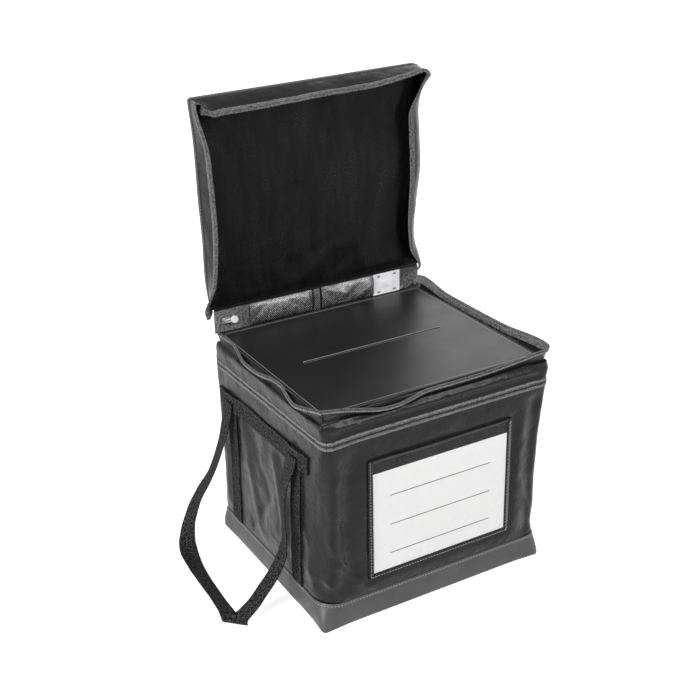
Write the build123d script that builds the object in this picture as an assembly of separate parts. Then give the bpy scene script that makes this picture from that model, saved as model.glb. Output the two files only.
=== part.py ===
"""Zip-up ballot box of coated fabric, with its lid standing open.

Millimetres, +Z up. X runs along the front, +Y to the back. The origin is the middle of the underside.
"""

from build123d import *
import math
import os

# Overall sizes of the bag
bag_width = 338.0
bag_depth = 300.0
corner_radius = 12.0
seam_height = 268.0
collar_height = 39.0

# Sheets that the bag is sewn from
fabric = 1.2
lining = 0.8
wall_board = 2.5
parting_gap = 0.3
soft_clearance = 0.3
overrun = 5.0

# Base and the boot that protects it
base_thickness = 3.0
base_board_thickness = 4.0
boot_height = 35.0
boot_thickness = 2.5
boot_edge_radius = 1.8
binding_height = 5.0
binding_thickness = 0.8
board_margin = 6.0

# Zips: one tape with half a coil on each side of the parting line
zip_tape_height = 5.0
zip_tape_thickness = 0.7
zip_coil_height = 1.8
zip_coil_thickness = 0.7

# Fold beads, the cloth that is rolled along each hinge line
bead_radius = 0.8
bead_clearance = 0.2

# Top deck with the ballot slot
panel_thickness = 3.0
panel_inset = 6.4
panel_radius = 8.0
slot_length = 216.0
slot_width = 4.8
slot_offset = 1.0
edging_width = 1.2
edging_lip = 0.4
gutter_thickness = 1.0
gutter_bearing = 8.0

# Lid
lid_depth = 34.0
lid_lean = 2.0
lid_board_thickness = 2.0
lid_board_margin = 4.0
lid_board_rear_gap = 10.0
lid_pad_thickness = 2.2
lid_pad_margin = 0.6
lid_rear_gap = 1.6
lid_lining_rear_gap = 7.5
seam_tape_width = 7.0
seam_tape_thickness = 0.6

# Hinge band between the deck and the lid, and what is sewn to its inner face
band_side_margin = 2.0
facing_thickness = 2.4
tape_thickness = 0.9
left_tape_width = 42.0
tab_width = 10.5
tab_thickness = 1.8
centre_tab_width = 15.0
centre_tab_thickness = 3.0
centre_tab_share = 0.53
facing_gap = 0.3

# Seal chamber, clamped through the band
seal_width = 45.0
seal_height = 32.0
seal_from_side = 58.5
seal_plate_thickness = 1.8
seal_chamber_thickness = 9.0
seal_pocket_width = 26.0
seal_pocket_depth = 5.2
seal_pocket_floor = 8.0
seal_clip_width = 5.0
seal_clip_height = 2.6
seal_clip_inset_x = 9.0
seal_clip_inset_z = 4.0
seal_clip_bite = 1.4
seal_fit = 0.1
seal_rib_width = 19.0
seal_rib_height = 10.0
seal_rib_thickness = 0.5

# Zip sliders and their pulls
slider_length = 12.0
slider_height = 9.0
slider_thickness = 3.0
slider_edge_radius = 1.2
bail_width = 5.0
bail_thickness = 1.4
bail_height = 5.0
bail_window = 2.4
pull_shank_length = 9.0
pull_shank_width = 1.6
pull_shank_thickness = 1.2
pull_disc_radius = 5.0
pull_disc_thickness = 3.4
pull_tab_length = 20.0
pull_tab_width = 7.0
lid_slider_from_side = 19.0
lid_slider_share = 0.52
opening_slider_setback = 14.0

# Label pocket on the front
card_width = 210.0
card_height = 148.0
card_thickness = 0.5
card_centre = 6.0
card_radius = 1.0
pocket_rise_share = 0.418
pocket_back_thickness = 1.7
pocket_border = 5.0
pocket_flap_height = 20.0
window_thickness = 0.4
window_overlap = 2.0
pocket_cover_thickness = 0.7

# Webbing on the sides
webbing_width = 25.0
webbing_thickness = 2.2
webbing_front_setback = 71.0
webbing_rear_setback = 51.0
bar_drop = 43.0
bar_overhang = 20.0
bar_end_radius = 2.0

# Handle loops, which hang from the bar and touch the ground beside the bag
handle_thickness = 2.0
handle_fold_radius = 1.6
handle_splay = 92.0
right_splay_share = 0.45
ground_clearance = 0.5

# Handle route, from the rear end down to the fold on the ground, and from there up to the front end.
# Each place is set by hand: shares outwards of the splay, along of half the webbing spacing and up of the
# bar's height, then the way that the strap's width points, outwards, along and up
handle_route_shares = (
    (0.000, 1.000, 1.000, 0.00, 1.00, 0.00),
    (0.075, 1.055, 0.840, 0.00, 1.00, 0.00),
    (0.235, 1.120, 0.667, 0.00, 1.00, 0.00),
    (0.415, 1.160, 0.502, 0.05, 1.00, 0.00),
    (0.570, 1.205, 0.369, 0.12, 0.99, 0.00),
    (0.695, 1.225, 0.240, 0.25, 0.97, 0.00),
    (0.790, 1.120, 0.130, 0.45, 0.89, 0.05),
    (0.870, 0.880, 0.056, 0.80, 0.58, 0.16),
    (0.930, 0.470, 0.032, 0.95, 0.19, 0.25),
    (0.965, 0.045, 0.030, 0.95, 0.13, 0.26),
    (0.985, -0.400, 0.028, 0.97, 0.06, 0.18),
    (0.975, -0.650, 0.024, 0.98, 0.10, 0.10),
    (0.955, -0.900, 0.020, 0.72, 0.69, 0.02),
)
handle_return_shares = (
    (0.955, -0.900, 0.020, -0.72, -0.69, -0.02),
    (0.800, -0.900, 0.062, -0.08, -1.00, 0.00),
    (0.670, -0.890, 0.105, 0.00, -1.00, 0.00),
    (0.540, -0.880, 0.165, 0.00, -1.00, 0.00),
    (0.385, -0.920, 0.264, 0.00, -1.00, 0.00),
    (0.235, -0.960, 0.382, 0.06, -1.00, 0.00),
    (0.150, -0.950, 0.484, 0.24, -0.97, 0.00),
    (0.100, -0.880, 0.600, 0.36, -0.93, 0.00),
    (0.075, -0.790, 0.711, 0.36, -0.93, 0.00),
    (0.045, -0.850, 0.831, 0.18, -0.98, 0.00),
    (0.020, -0.960, 0.920, 0.05, -1.00, 0.00),
    (0.000, -1.000, 1.000, 0.00, -1.00, 0.00),
)

# Places that several pieces share
half_width = bag_width / 2
half_depth = bag_depth / 2
inner_half_width = half_width - fabric
inner_half_depth = half_depth - fabric
rim_height = seam_height + collar_height
hinge_height = rim_height + lid_depth
panel_bottom = rim_height - panel_thickness
collar_top = rim_height - parting_gap / 2
zip_proud = zip_tape_thickness + zip_coil_thickness

# Hinge lines, both in the middle of the back cloth
hinge_y = half_depth - fabric / 2
opening_hinge_z = seam_height
lid_hinge_z = hinge_height - fabric / 2
hinge_reach = bead_radius + bead_clearance


def block(low, high):
    """A box between two corners."""
    size = [b - a for a, b in zip(low, high)]
    middle = [(a + b) / 2 for a, b in zip(low, high)]
    return Pos(*middle) * Box(*size)


def plate(width, depth, radius, bottom, top):
    """A flat plate with rounded corners about the Z axis."""
    outline = RectangleRounded(width, depth, radius)
    return Pos(0, 0, bottom) * extrude(outline, amount=top - bottom)


def ring(offset, thickness, bottom, top):
    """A band of cloth that follows the bag's outline, its outer face offset from the bag's."""
    outer = plate(bag_width + 2 * offset, bag_depth + 2 * offset, corner_radius + offset, bottom, top)
    inside = offset - thickness
    hole = plate(
        bag_width + 2 * inside,
        bag_depth + 2 * inside,
        corner_radius + inside,
        bottom - overrun,
        top + overrun,
    )
    return outer - hole


def front_strip(offset):
    """The space that holds the front and its two corners."""
    reach = half_width + offset + overrun
    return block(
        (-reach, -half_depth - offset - overrun, -overrun),
        (reach, -half_depth + corner_radius, hinge_height + overrun),
    )


def side_strip(side, offset):
    """The space that holds one side between its corners."""
    near = half_width - corner_radius
    far = half_width + offset + overrun
    low, high = sorted((side * near, side * far))
    return block(
        (low, -half_depth + corner_radius, -overrun),
        (high, half_depth - corner_radius, hinge_height + overrun),
    )


def back_strip(offset):
    """The space that holds the back and its two corners."""
    return Rot(0, 0, 180) * front_strip(offset)


def three_sided(shape, offset):
    """Leaves a ring its front and two sides, up to the rear corners."""
    return shape - back_strip(offset)


def zip_half(parting, way, gap):
    """Half a zip on the outside of the cloth: its tape, and the coil at the parting line."""
    near = parting + way * gap
    far = parting + way * zip_tape_height
    crest = near + way * zip_coil_height
    tape = ring(zip_tape_thickness, zip_tape_thickness, min(near, far), max(near, far))
    coil = ring(zip_proud, zip_coil_thickness, min(near, crest), max(near, crest))
    return three_sided(tape + coil, zip_proud)


def hinge_bead(height, length):
    """The rolled cloth on a hinge line."""
    return Pos(0, hinge_y, height) * Rot(0, 90, 0) * Cylinder(bead_radius, length)


# Bag: base, boot and walls


def base_panel():
    return plate(bag_width, bag_depth, corner_radius, 0, base_thickness)


def boot_band():
    band = ring(boot_thickness, boot_thickness, 0, boot_height)
    lowest = band.faces().sort_by(Axis.Z)[0]
    rim = lowest.outer_wire().edges()
    return fillet(rim, boot_edge_radius)


def boot_binding():
    reach = boot_thickness + binding_thickness
    return ring(reach, binding_thickness, boot_height - binding_height, boot_height)


def wall_ring():
    return ring(0, fabric, base_thickness, seam_height - parting_gap / 2)


def back_wall():
    room = block(
        (-bag_width, half_depth - corner_radius, seam_height - hinge_reach),
        (bag_width, bag_depth, seam_height + overrun),
    )
    return wall_ring() & back_strip(0) - room


def base_board():
    return plate(
        2 * (inner_half_width - parting_gap),
        2 * (inner_half_depth - parting_gap),
        corner_radius - fabric,
        base_thickness,
        base_thickness + base_board_thickness,
    )


board_foot = base_thickness + base_board_thickness
board_top = seam_height - board_margin


def cross_board(side):
    """The stiff board behind the front or the back cloth."""
    near = inner_half_depth - wall_board
    low, high = sorted((side * near, side * inner_half_depth))
    reach = half_width - corner_radius
    return block((-reach, low, board_foot), (reach, high, board_top))


def side_board(side):
    """The stiff board behind a side cloth."""
    near = inner_half_width - wall_board
    low, high = sorted((side * near, side * inner_half_width))
    reach = half_depth - corner_radius
    return block((low, -reach, board_foot), (high, reach, board_top))


def inner_lining():
    """The open-topped bag of thin cloth inside the boards."""
    depth_in = fabric + wall_board
    outer = plate(
        bag_width - 2 * depth_in,
        bag_depth - 2 * depth_in,
        corner_radius,
        board_foot,
        board_top,
    )
    hole = plate(
        bag_width - 2 * (depth_in + lining),
        bag_depth - 2 * (depth_in + lining),
        corner_radius - lining,
        board_foot + lining,
        board_top + overrun,
    )
    return outer - hole


# Label pocket

pocket_face = -half_depth
pocket_back_front = pocket_face - pocket_back_thickness
card_back = pocket_back_front - soft_clearance
card_front = card_back - card_thickness
window_back = card_front - soft_clearance
window_front = window_back - window_thickness
cover_front = window_front - pocket_cover_thickness
card_left = card_centre - card_width / 2
card_right = card_centre + card_width / 2
pocket_left = card_left - pocket_border
pocket_right = card_right + pocket_border
pocket_height = pocket_border + card_height + pocket_flap_height
pocket_room = seam_height - zip_tape_height - boot_height - pocket_height
pocket_bottom = boot_height + pocket_rise_share * pocket_room
card_bottom = pocket_bottom + pocket_border
card_top = card_bottom + card_height
pocket_mouth = card_top + pocket_flap_height


def pocket_back():
    return block(
        (pocket_left, pocket_back_front, pocket_bottom),
        (pocket_right, pocket_face, pocket_mouth),
    )


def pocket_frame():
    """The sewn border: a spacer on three sides, and a cover that runs over the window's edge."""
    whole = block(
        (pocket_left, window_front, pocket_bottom),
        (pocket_right, pocket_back_front, pocket_mouth),
    )
    room = block(
        (card_left - soft_clearance, window_front - overrun, card_bottom - soft_clearance),
        (card_right + soft_clearance, pocket_back_front + overrun, pocket_mouth + overrun),
    )
    cover = block(
        (pocket_left, cover_front, pocket_bottom),
        (pocket_right, window_front, pocket_mouth),
    )
    opening = block(
        (card_left + window_overlap, cover_front - overrun, card_bottom + window_overlap),
        (card_right - window_overlap, window_front + overrun, card_top - window_overlap),
    )
    return (whole - room) + (cover - opening)


def window_film():
    return block(
        (card_left - soft_clearance, window_front, card_bottom - soft_clearance),
        (card_right + soft_clearance, window_back, pocket_mouth),
    )


def label_card():
    outline = RectangleRounded(card_width, card_height, card_radius)
    sheet = extrude(outline, amount=card_thickness)
    return Pos(card_centre, card_back, card_bottom + card_height / 2) * Rot(90, 0, 0) * sheet


# Webbing and handles

bar_height = seam_height - bar_drop
strip_face = half_width + webbing_thickness
bar_face = strip_face + webbing_thickness
fold_x = bar_face + soft_clearance + handle_fold_radius
half_spacing = (bag_depth - webbing_front_setback - webbing_rear_setback) / 2
webbing_offset = (webbing_front_setback - webbing_rear_setback) / 2


def webbing_strip(side, end):
    """One upright strip, from the boot to the top of the bar."""
    middle = webbing_offset + end * half_spacing
    low, high = sorted((side * half_width, side * strip_face))
    return block(
        (low, middle - webbing_width / 2, boot_height),
        (high, middle + webbing_width / 2, bar_height + webbing_width / 2),
    )


def webbing_bar(side):
    """The level strip across the two upright ones."""
    low, high = sorted((side * strip_face, side * bar_face))
    reach = half_spacing + webbing_width / 2 + bar_overhang
    bar = block(
        (low, webbing_offset - reach, bar_height - webbing_width / 2),
        (high, webbing_offset + reach, bar_height + webbing_width / 2),
    )
    return fillet(bar.edges().filter_by(Axis.X), bar_end_radius)


def strap_place(side, splay, shares):
    """The middle of the strap at one place of its route, and the way that its width points."""
    out, along, up, lean_out, lean_along, lean_up = shares
    middle = Vector(
        side * (fold_x + out * splay),
        webbing_offset + along * half_spacing,
        max(up * bar_height, ground_clearance + webbing_thickness),
    )
    width_way = Vector(side * lean_out, lean_along, lean_up)
    return middle, width_way.normalized()


def strap_section(middle, width_way, run):
    """The strap's cross-section at one place, mitred where its width isn't square to its run."""
    face_way = run.cross(width_way).normalized()
    square_share = math.sqrt(1 - width_way.dot(run) ** 2)
    reach = width_way * (webbing_width / 2 / square_share)
    skin = face_way * (handle_thickness / 2)
    corners = (
        middle + reach + skin,
        middle - reach + skin,
        middle - reach - skin,
        middle + reach - skin,
    )
    return Wire.make_polygon(corners, close=True)


def strap(side, splay, route_shares):
    """A ruled loft through the strap's cross-sections."""
    places = [strap_place(side, splay, shares) for shares in route_shares]
    sections = []
    for index, (middle, width_way) in enumerate(places):
        before = places[max(index - 1, 0)][0]
        after = places[min(index + 1, len(places) - 1)][0]
        run = (after - before).normalized()
        sections.append(strap_section(middle, width_way, run))
    return Solid.make_loft(sections, ruled=True)


def handle(side, splay):
    """A webbing loop with a rolled fold at each end, where it turns on the bar."""
    loop = strap(side, splay, handle_route_shares) + strap(side, splay, handle_return_shares)
    for end in (-1, 1):
        fold = Rot(90, 0, 0) * Cylinder(handle_fold_radius, webbing_width)
        loop += Pos(side * fold_x, webbing_offset + end * half_spacing, bar_height) * fold
    return loop


# Top: collar, deck and hinge band


def collar_ring():
    return ring(0, fabric, seam_height + parting_gap / 2, collar_top)


def collar_back():
    room = block(
        (-bag_width, half_depth - corner_radius, seam_height - overrun),
        (bag_width, bag_depth, seam_height + hinge_reach),
    )
    return collar_ring() & back_strip(0) - room


panel_width = bag_width - 2 * panel_inset
panel_depth = bag_depth - 2 * panel_inset


def slot_panel():
    body = plate(
        panel_width - 2 * edging_width,
        panel_depth - 2 * edging_width,
        panel_radius - edging_width,
        panel_bottom,
        rim_height,
    )
    cutter = extrude(SlotOverall(slot_length, slot_width), amount=panel_thickness + 2 * overrun)
    return body - Pos(0, slot_offset, panel_bottom - overrun) * cutter


def panel_edging():
    outer = plate(panel_width, panel_depth, panel_radius, panel_bottom, rim_height + edging_lip)
    hole = plate(
        panel_width - 2 * edging_width,
        panel_depth - 2 * edging_width,
        panel_radius - edging_width,
        panel_bottom - overrun,
        rim_height + edging_lip + overrun,
    )
    return outer - hole


def rim_gutter():
    """The strip of lining that carries the deck and joins it to the collar."""
    outer = plate(
        2 * inner_half_width,
        2 * inner_half_depth,
        corner_radius - fabric,
        panel_bottom - gutter_thickness,
        panel_bottom,
    )
    hole = plate(
        panel_width - 2 * gutter_bearing,
        panel_depth - 2 * gutter_bearing,
        panel_radius,
        panel_bottom - gutter_thickness - overrun,
        panel_bottom + overrun,
    )
    return outer - hole


band_half_width = inner_half_width - band_side_margin
band_top = lid_hinge_z - hinge_reach
band_front = half_depth - fabric
seal_centre = half_width - seal_from_side


def seal_clip_places():
    """Where the four clips of the seal chamber pass through the band."""
    reach_x = seal_width / 2 - seal_clip_inset_x
    reach_z = seal_height / 2 - seal_clip_inset_z
    middle_z = rim_height + (band_top - rim_height) / 2
    return [
        (seal_centre + end_x * reach_x, middle_z + end_z * reach_z)
        for end_x in (-1, 1)
        for end_z in (-1, 1)
    ]


def seal_clips(grow=0):
    """The four clips, or the holes for them when grown."""
    clips = []
    for x, z in seal_clip_places():
        reach_x = seal_clip_width / 2 + grow
        reach_z = seal_clip_height / 2 + grow
        clips.append(
            block(
                (x - reach_x, band_front - seal_plate_thickness - grow, z - reach_z),
                (x + reach_x, half_depth + seal_clip_bite + grow, z + reach_z),
            )
        )
    return Compound(children=clips)


def hinge_band():
    band = block(
        (-band_half_width, band_front, collar_top),
        (band_half_width, half_depth, band_top),
    )
    return band - seal_clips(seal_fit)


def band_piece(left, right, thickness):
    """A piece sewn flat on the band's inner face."""
    return block((left, band_front - thickness, rim_height), (right, band_front, band_top))


tape_right = -band_half_width + left_tape_width
tab_left = tape_right + facing_gap
tab_right = tab_left + tab_width
seal_left = seal_centre - seal_width / 2
seal_right = seal_centre + seal_width / 2
facing_right = seal_left - facing_gap
centre_tab_middle = tab_right + centre_tab_share * (facing_right - tab_right)


def zip_end_tape():
    return band_piece(-band_half_width, tape_right, tape_thickness)


def end_tab():
    return band_piece(tab_left, tab_right, tab_thickness)


def facing(left, right):
    """A puffed tube of glossy cloth along the band."""
    height = band_top - rim_height
    body = band_piece(left, right, facing_thickness)
    crown = Pos(0, band_front - facing_thickness, rim_height + height / 2)
    bulge = Rot(0, 90, 0) * extrude(Ellipse(height / 2, facing_thickness), amount=(right - left) / 2, both=True)
    front_half = block(
        (left - overrun, band_front - 2 * facing_thickness - overrun, rim_height),
        (right + overrun, band_front - facing_thickness, band_top),
    )
    return body + ((crown * Pos((left + right) / 2, 0, 0) * bulge) & front_half)


def hinge_facing_left():
    return facing(tab_right + facing_gap, centre_tab_middle - centre_tab_width / 2 - facing_gap)


def hinge_facing_right():
    return facing(centre_tab_middle + centre_tab_width / 2 + facing_gap, facing_right)


def centre_tab():
    half = centre_tab_width / 2
    return band_piece(centre_tab_middle - half, centre_tab_middle + half, centre_tab_thickness)


def right_end_tape():
    return band_piece(seal_right + facing_gap, band_half_width, tape_thickness)


def seal_plate():
    """The inner plate of the seal chamber, with a low raised field in the middle."""
    middle_z = rim_height + (band_top - rim_height) / 2
    body = block(
        (seal_left, band_front - seal_plate_thickness, middle_z - seal_height / 2),
        (seal_right, band_front, middle_z + seal_height / 2),
    )
    rib = block(
        (
            seal_centre - seal_rib_width / 2,
            band_front - seal_plate_thickness - seal_rib_thickness,
            middle_z - seal_rib_height / 2,
        ),
        (
            seal_centre + seal_rib_width / 2,
            band_front - seal_plate_thickness,
            middle_z + seal_rib_height / 2,
        ),
    )
    return (body + rib) - seal_clips(seal_fit)


def seal_chamber():
    """The outer half of the seal chamber, with a pocket for the seal that is open at the top."""
    middle_z = rim_height + (band_top - rim_height) / 2
    floor = middle_z - seal_height / 2
    roof = middle_z + seal_height / 2
    body = block(
        (seal_left, half_depth, floor),
        (seal_right, half_depth + seal_chamber_thickness, roof),
    )
    skin = (seal_chamber_thickness - seal_pocket_depth) / 2
    pocket = block(
        (seal_centre - seal_pocket_width / 2, half_depth + skin, floor + seal_pocket_floor),
        (
            seal_centre + seal_pocket_width / 2,
            half_depth + skin + seal_pocket_depth,
            roof + overrun,
        ),
    )
    return body - pocket - seal_clips(seal_fit)


# Zip sliders, drawn with the zip along X and its face towards -Y


def slider_body():
    """The slider's shell, its back at the origin, and the arched bail that holds the pull."""
    shell = block(
        (-slider_length / 2, -slider_thickness, -slider_height / 2),
        (slider_length / 2, 0, slider_height / 2),
    )
    shell = fillet(shell.edges().filter_by(Axis.Y), slider_edge_radius)
    bail = block(
        (-bail_width / 2, -slider_thickness - bail_height, -bail_thickness / 2),
        (bail_width / 2, -slider_thickness, bail_thickness / 2),
    )
    window = block(
        (-bail_window / 2, -slider_thickness - bail_height / 2 - bail_window / 2, -bail_thickness),
        (bail_window / 2, -slider_thickness - bail_height / 2 + bail_window / 2, bail_thickness),
    )
    return shell + (bail - window)


bail_eye = slider_thickness + bail_height / 2


def pull_eye():
    """The short pin that runs through the bail's window, and the shank's fork beside it."""
    pin_length = bail_thickness + 2 * parting_gap + 2 * pull_shank_width
    pin = Pos(0, -bail_eye, 0) * Cylinder(pull_shank_thickness / 2, pin_length)
    parts = [pin]
    for side in (-1, 1):
        inner = side * (bail_thickness / 2 + parting_gap)
        outer = side * (bail_thickness / 2 + parting_gap + pull_shank_width)
        parts.append(
            block(
                (0, -bail_eye - pull_shank_thickness / 2, min(inner, outer)),
                (pull_shank_length, -bail_eye + pull_shank_thickness / 2, max(inner, outer)),
            )
        )
    whole = parts[0]
    for piece in parts[1:]:
        whole += piece
    return whole


def disc_pull():
    """A pull that ends in a round plastic grip."""
    grip = Rot(90, 0, 0) * Cylinder(pull_disc_radius, pull_disc_thickness)
    return pull_eye() + Pos(pull_shank_length + pull_disc_radius / 2, -bail_eye, 0) * grip


def tab_pull():
    """A pull that ends in a flat metal tab."""
    tab = block(
        (pull_shank_length - pull_tab_width / 2, -bail_eye - pull_shank_thickness / 2, -pull_tab_width / 2),
        (
            pull_shank_length + pull_tab_length - pull_tab_width / 2,
            -bail_eye + pull_shank_thickness / 2,
            pull_tab_width / 2,
        ),
    )
    tab = fillet(tab.edges().filter_by(Axis.Y), slider_edge_radius)
    return pull_eye() + tab


lid_slider_x = -half_width + lid_slider_from_side
lid_slider_z = rim_height + lid_slider_share * lid_depth
lid_slider_place = Pos(lid_slider_x, band_front - tape_thickness - soft_clearance, lid_slider_z)
opening_slider_y = half_depth - corner_radius - opening_slider_setback
opening_slider_place = Pos(half_width + zip_proud + soft_clearance, opening_slider_y, seam_height) * Rot(0, 0, 90)


# Lid, drawn closed with the hinge line on the X axis, then turned to where it stands open

lid_place = Pos(0, hinge_y, lid_hinge_z) * Rot(-90 - lid_lean, 0, 0)
lid_top = fabric / 2
lid_mouth = lid_top - lid_depth


def lid_sheet(inset, bottom, top, rear):
    """A sheet of the lid's outline, inset all round, whose rear edge is at a given distance."""
    width = bag_width - 2 * inset
    depth = bag_depth - 2 * inset
    radius = max(corner_radius - inset, fabric)
    sheet = Pos(0, -hinge_y, 0) * plate(width, depth, radius, bottom, top)
    square_rear = block((-width / 2, -bag_depth / 2, bottom), (width / 2, -rear, top))
    beyond = block((-bag_width, -rear, bottom - overrun), (bag_width, bag_depth, top + overrun))
    return (sheet + square_rear) - beyond


def lid_band(offset, thickness, bottom, top):
    """A band round the lid's front and sides."""
    outer = lid_sheet(-offset, bottom, top, lid_rear_gap)
    hole = lid_sheet(thickness - offset, bottom - overrun, top + overrun, -overrun)
    return outer - hole


def lid_panel():
    return lid_sheet(0, lid_top - fabric, lid_top, hinge_reach)


def lid_skirt():
    return lid_band(0, fabric, lid_mouth + parting_gap / 2, lid_top - fabric)


def lid_board():
    return lid_sheet(
        fabric + lid_board_margin,
        lid_top - fabric - lid_board_thickness,
        lid_top - fabric,
        lid_board_rear_gap,
    )


def lid_pad():
    """The soft glossy lining under the board."""
    top = lid_top - fabric - lid_board_thickness
    return lid_sheet(fabric + lid_pad_margin, top - lid_pad_thickness, top, lid_lining_rear_gap)


def lid_seam_tape():
    """The binding that is sewn over the seam between the lid's top and its skirt."""
    return lid_band(seam_tape_thickness, seam_tape_thickness, lid_top - seam_tape_width, lid_top)


def lid_zip():
    near = lid_mouth + parting_gap / 2
    tape = lid_band(zip_tape_thickness, zip_tape_thickness, near, lid_mouth + zip_tape_height)
    coil = lid_band(zip_proud, zip_coil_thickness, near, near + zip_coil_height)
    return tape + coil


def all_nodes():
    """Every sub-part by the name of its node."""
    walls = wall_ring()
    collar = collar_ring()
    nodes = {
        "base_panel": base_panel(),
        "base_board": base_board(),
        "boot_band": boot_band(),
        "boot_binding": boot_binding(),
        "front_wall": walls & front_strip(0),
        "back_wall": back_wall(),
        "left_wall": walls & side_strip(-1, 0),
        "right_wall": walls & side_strip(1, 0),
        "front_board": cross_board(-1),
        "back_board": cross_board(1),
        "left_board": side_board(-1),
        "right_board": side_board(1),
        "inner_lining": inner_lining(),
        "opening_zip_lower": zip_half(seam_height, -1, parting_gap / 2),
        "opening_hinge_bead": hinge_bead(opening_hinge_z, 2 * (half_width - corner_radius)),
        "pocket_back": pocket_back(),
        "pocket_frame": pocket_frame(),
        "window_film": window_film(),
        "label_card": label_card(),
        "collar_front": collar & front_strip(0),
        "collar_left": collar & side_strip(-1, 0),
        "collar_right": collar & side_strip(1, 0),
        "collar_back": collar_back(),
        "opening_zip_upper": zip_half(seam_height, 1, parting_gap / 2),
        "rim_zip": zip_half(rim_height, -1, parting_gap / 2),
        "rim_gutter": rim_gutter(),
        "slot_panel": slot_panel(),
        "panel_edging": panel_edging(),
        "hinge_band": hinge_band(),
        "lid_hinge_bead": hinge_bead(lid_hinge_z, 2 * band_half_width),
        "zip_end_tape": zip_end_tape(),
        "end_tab": end_tab(),
        "hinge_facing_left": hinge_facing_left(),
        "centre_tab": centre_tab(),
        "hinge_facing_right": hinge_facing_right(),
        "right_end_tape": right_end_tape(),
        "seal_plate": seal_plate(),
        "seal_chamber": seal_chamber(),
        "seal_clips": seal_clips(),
        "lid_panel": lid_place * lid_panel(),
        "lid_skirt": lid_place * lid_skirt(),
        "lid_board": lid_place * lid_board(),
        "lid_pad": lid_place * lid_pad(),
        "lid_seam_tape": lid_place * lid_seam_tape(),
        "lid_zip": lid_place * lid_zip(),
        "lid_zip_slider": lid_slider_place * slider_body(),
        "lid_zip_pull": lid_slider_place * disc_pull(),
        "opening_zip_slider": opening_slider_place * slider_body(),
        "opening_zip_pull": opening_slider_place * tab_pull(),
    }
    for side, name in ((-1, "left"), (1, "right")):
        splay = handle_splay * (1 if side < 0 else right_splay_share)
        nodes[f"{name}_webbing_front"] = webbing_strip(side, -1)
        nodes[f"{name}_webbing_rear"] = webbing_strip(side, 1)
        nodes[f"{name}_webbing_bar"] = webbing_bar(side)
        nodes[f"{name}_handle"] = handle(side, splay)
    return nodes


os.makedirs("parts", exist_ok=True)
for node, shape in all_nodes().items():
    export_step(shape, f"parts/{node}.step")
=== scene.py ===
"""Looks of the zip-up ballot box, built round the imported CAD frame.

Lengths are millimetres until a mesh is made.
"""

import math

import bmesh
import bpy
import numpy as np
from mathutils import Matrix, Vector, noise


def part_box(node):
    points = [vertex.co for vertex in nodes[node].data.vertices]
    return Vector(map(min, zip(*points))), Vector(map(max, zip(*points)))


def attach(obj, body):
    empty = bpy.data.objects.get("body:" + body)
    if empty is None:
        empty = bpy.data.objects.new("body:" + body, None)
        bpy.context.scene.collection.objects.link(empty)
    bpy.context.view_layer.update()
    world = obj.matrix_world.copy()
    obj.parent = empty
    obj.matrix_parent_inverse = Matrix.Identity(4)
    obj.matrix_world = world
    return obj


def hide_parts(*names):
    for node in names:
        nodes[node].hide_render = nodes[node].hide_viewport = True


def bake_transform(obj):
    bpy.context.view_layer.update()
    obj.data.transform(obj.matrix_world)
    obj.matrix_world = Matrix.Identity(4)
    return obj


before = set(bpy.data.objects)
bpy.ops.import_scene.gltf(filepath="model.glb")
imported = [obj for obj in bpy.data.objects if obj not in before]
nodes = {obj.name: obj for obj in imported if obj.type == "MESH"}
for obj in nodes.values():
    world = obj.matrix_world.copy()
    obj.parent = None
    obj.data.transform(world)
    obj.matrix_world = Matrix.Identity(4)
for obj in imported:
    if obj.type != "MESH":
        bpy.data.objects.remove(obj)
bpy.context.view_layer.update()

MM = 0.001


# Sizes and places from the frame


def box(name):
    """A node's lowest and highest corners."""
    return [[round(value / MM, 2) for value in corner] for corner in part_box(name)]


def span(name):
    """A node's left and right ends."""
    return [round(corner[0], 1) for corner in box(name)]


def middle(name):
    return [(a + b) / 2 for a, b in zip(*box(name))]


(_, FRONT, _), (HALF_X, corner_start, wall_top) = box("front_wall")
HALF_Y, CORNER = -FRONT, corner_start - FRONT
CLOTH = round(HALF_X - box("right_wall")[0][0], 2)
BOOT_Z = box("boot_band")[1][2]
SEAM_Z = (wall_top + box("collar_front")[0][2]) / 2
DECK_X, DECK_Y, RIM_Z = box("slot_panel")[1]
GUTTER_Z = RIM_Z - 4  # where the gutter leaves the rim
(_, BAND_IN, _), (BAND_X, BAND_OUT, BAND_TOP) = box("hinge_band")
(POCKET_LEFT, _, POCKET_LOW), (POCKET_RIGHT, _, POCKET_HIGH) = box("pocket_back")
(CARD_LEFT, _, CARD_LOW), (CARD_RIGHT, _, CARD_HIGH) = box("label_card")
(_, BAR_FRONT, bar_low), (_, BAR_REAR, bar_high) = box("right_webbing_bar")
BAR_Z = (bar_low + bar_high) / 2
STRIPS = [(middle(f"right_webbing_{end}")[1], end) for end in ("front", "rear")]
_, LID_HINGE_Y, LID_HINGE_Z = middle("lid_hinge_bead")

# The lid along its face and from its outer face to its mouth, and how far it leans back
LID_LENGTH, LID_DEPTH = 299.4, 33.2
LID_START = 1.2  # where its cloth begins, past the hinge
LID_LEAN = math.radians(2.0)

# Distances round the bag at its corners, from the rear left one over the front
FRONT_LEFT, FRONT_RIGHT = 2 * HALF_Y, 2 * (HALF_Y + HALF_X)
REAR_RIGHT, PERIMETER = FRONT_RIGHT + 2 * HALF_Y, 4 * (HALF_X + HALF_Y)
STEP = 4.0  # between places along a band


# Small sums


def portion(low, high, value):
    """The share of the way from low to high, kept within 0 and 1."""
    return min(1.0, max(0.0, (value - low) / (high - low)))


def smooth(low, high, value):
    """0 before low, 1 after high, and a smooth step between."""
    t = portion(low, high, value)
    return t * t * (3 - 2 * t)


def window(value, start, full, fade, end):
    """1 from full to fade, and 0 before start and after end."""
    return smooth(start, full, value) * (1 - smooth(fade, end, value))


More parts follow.
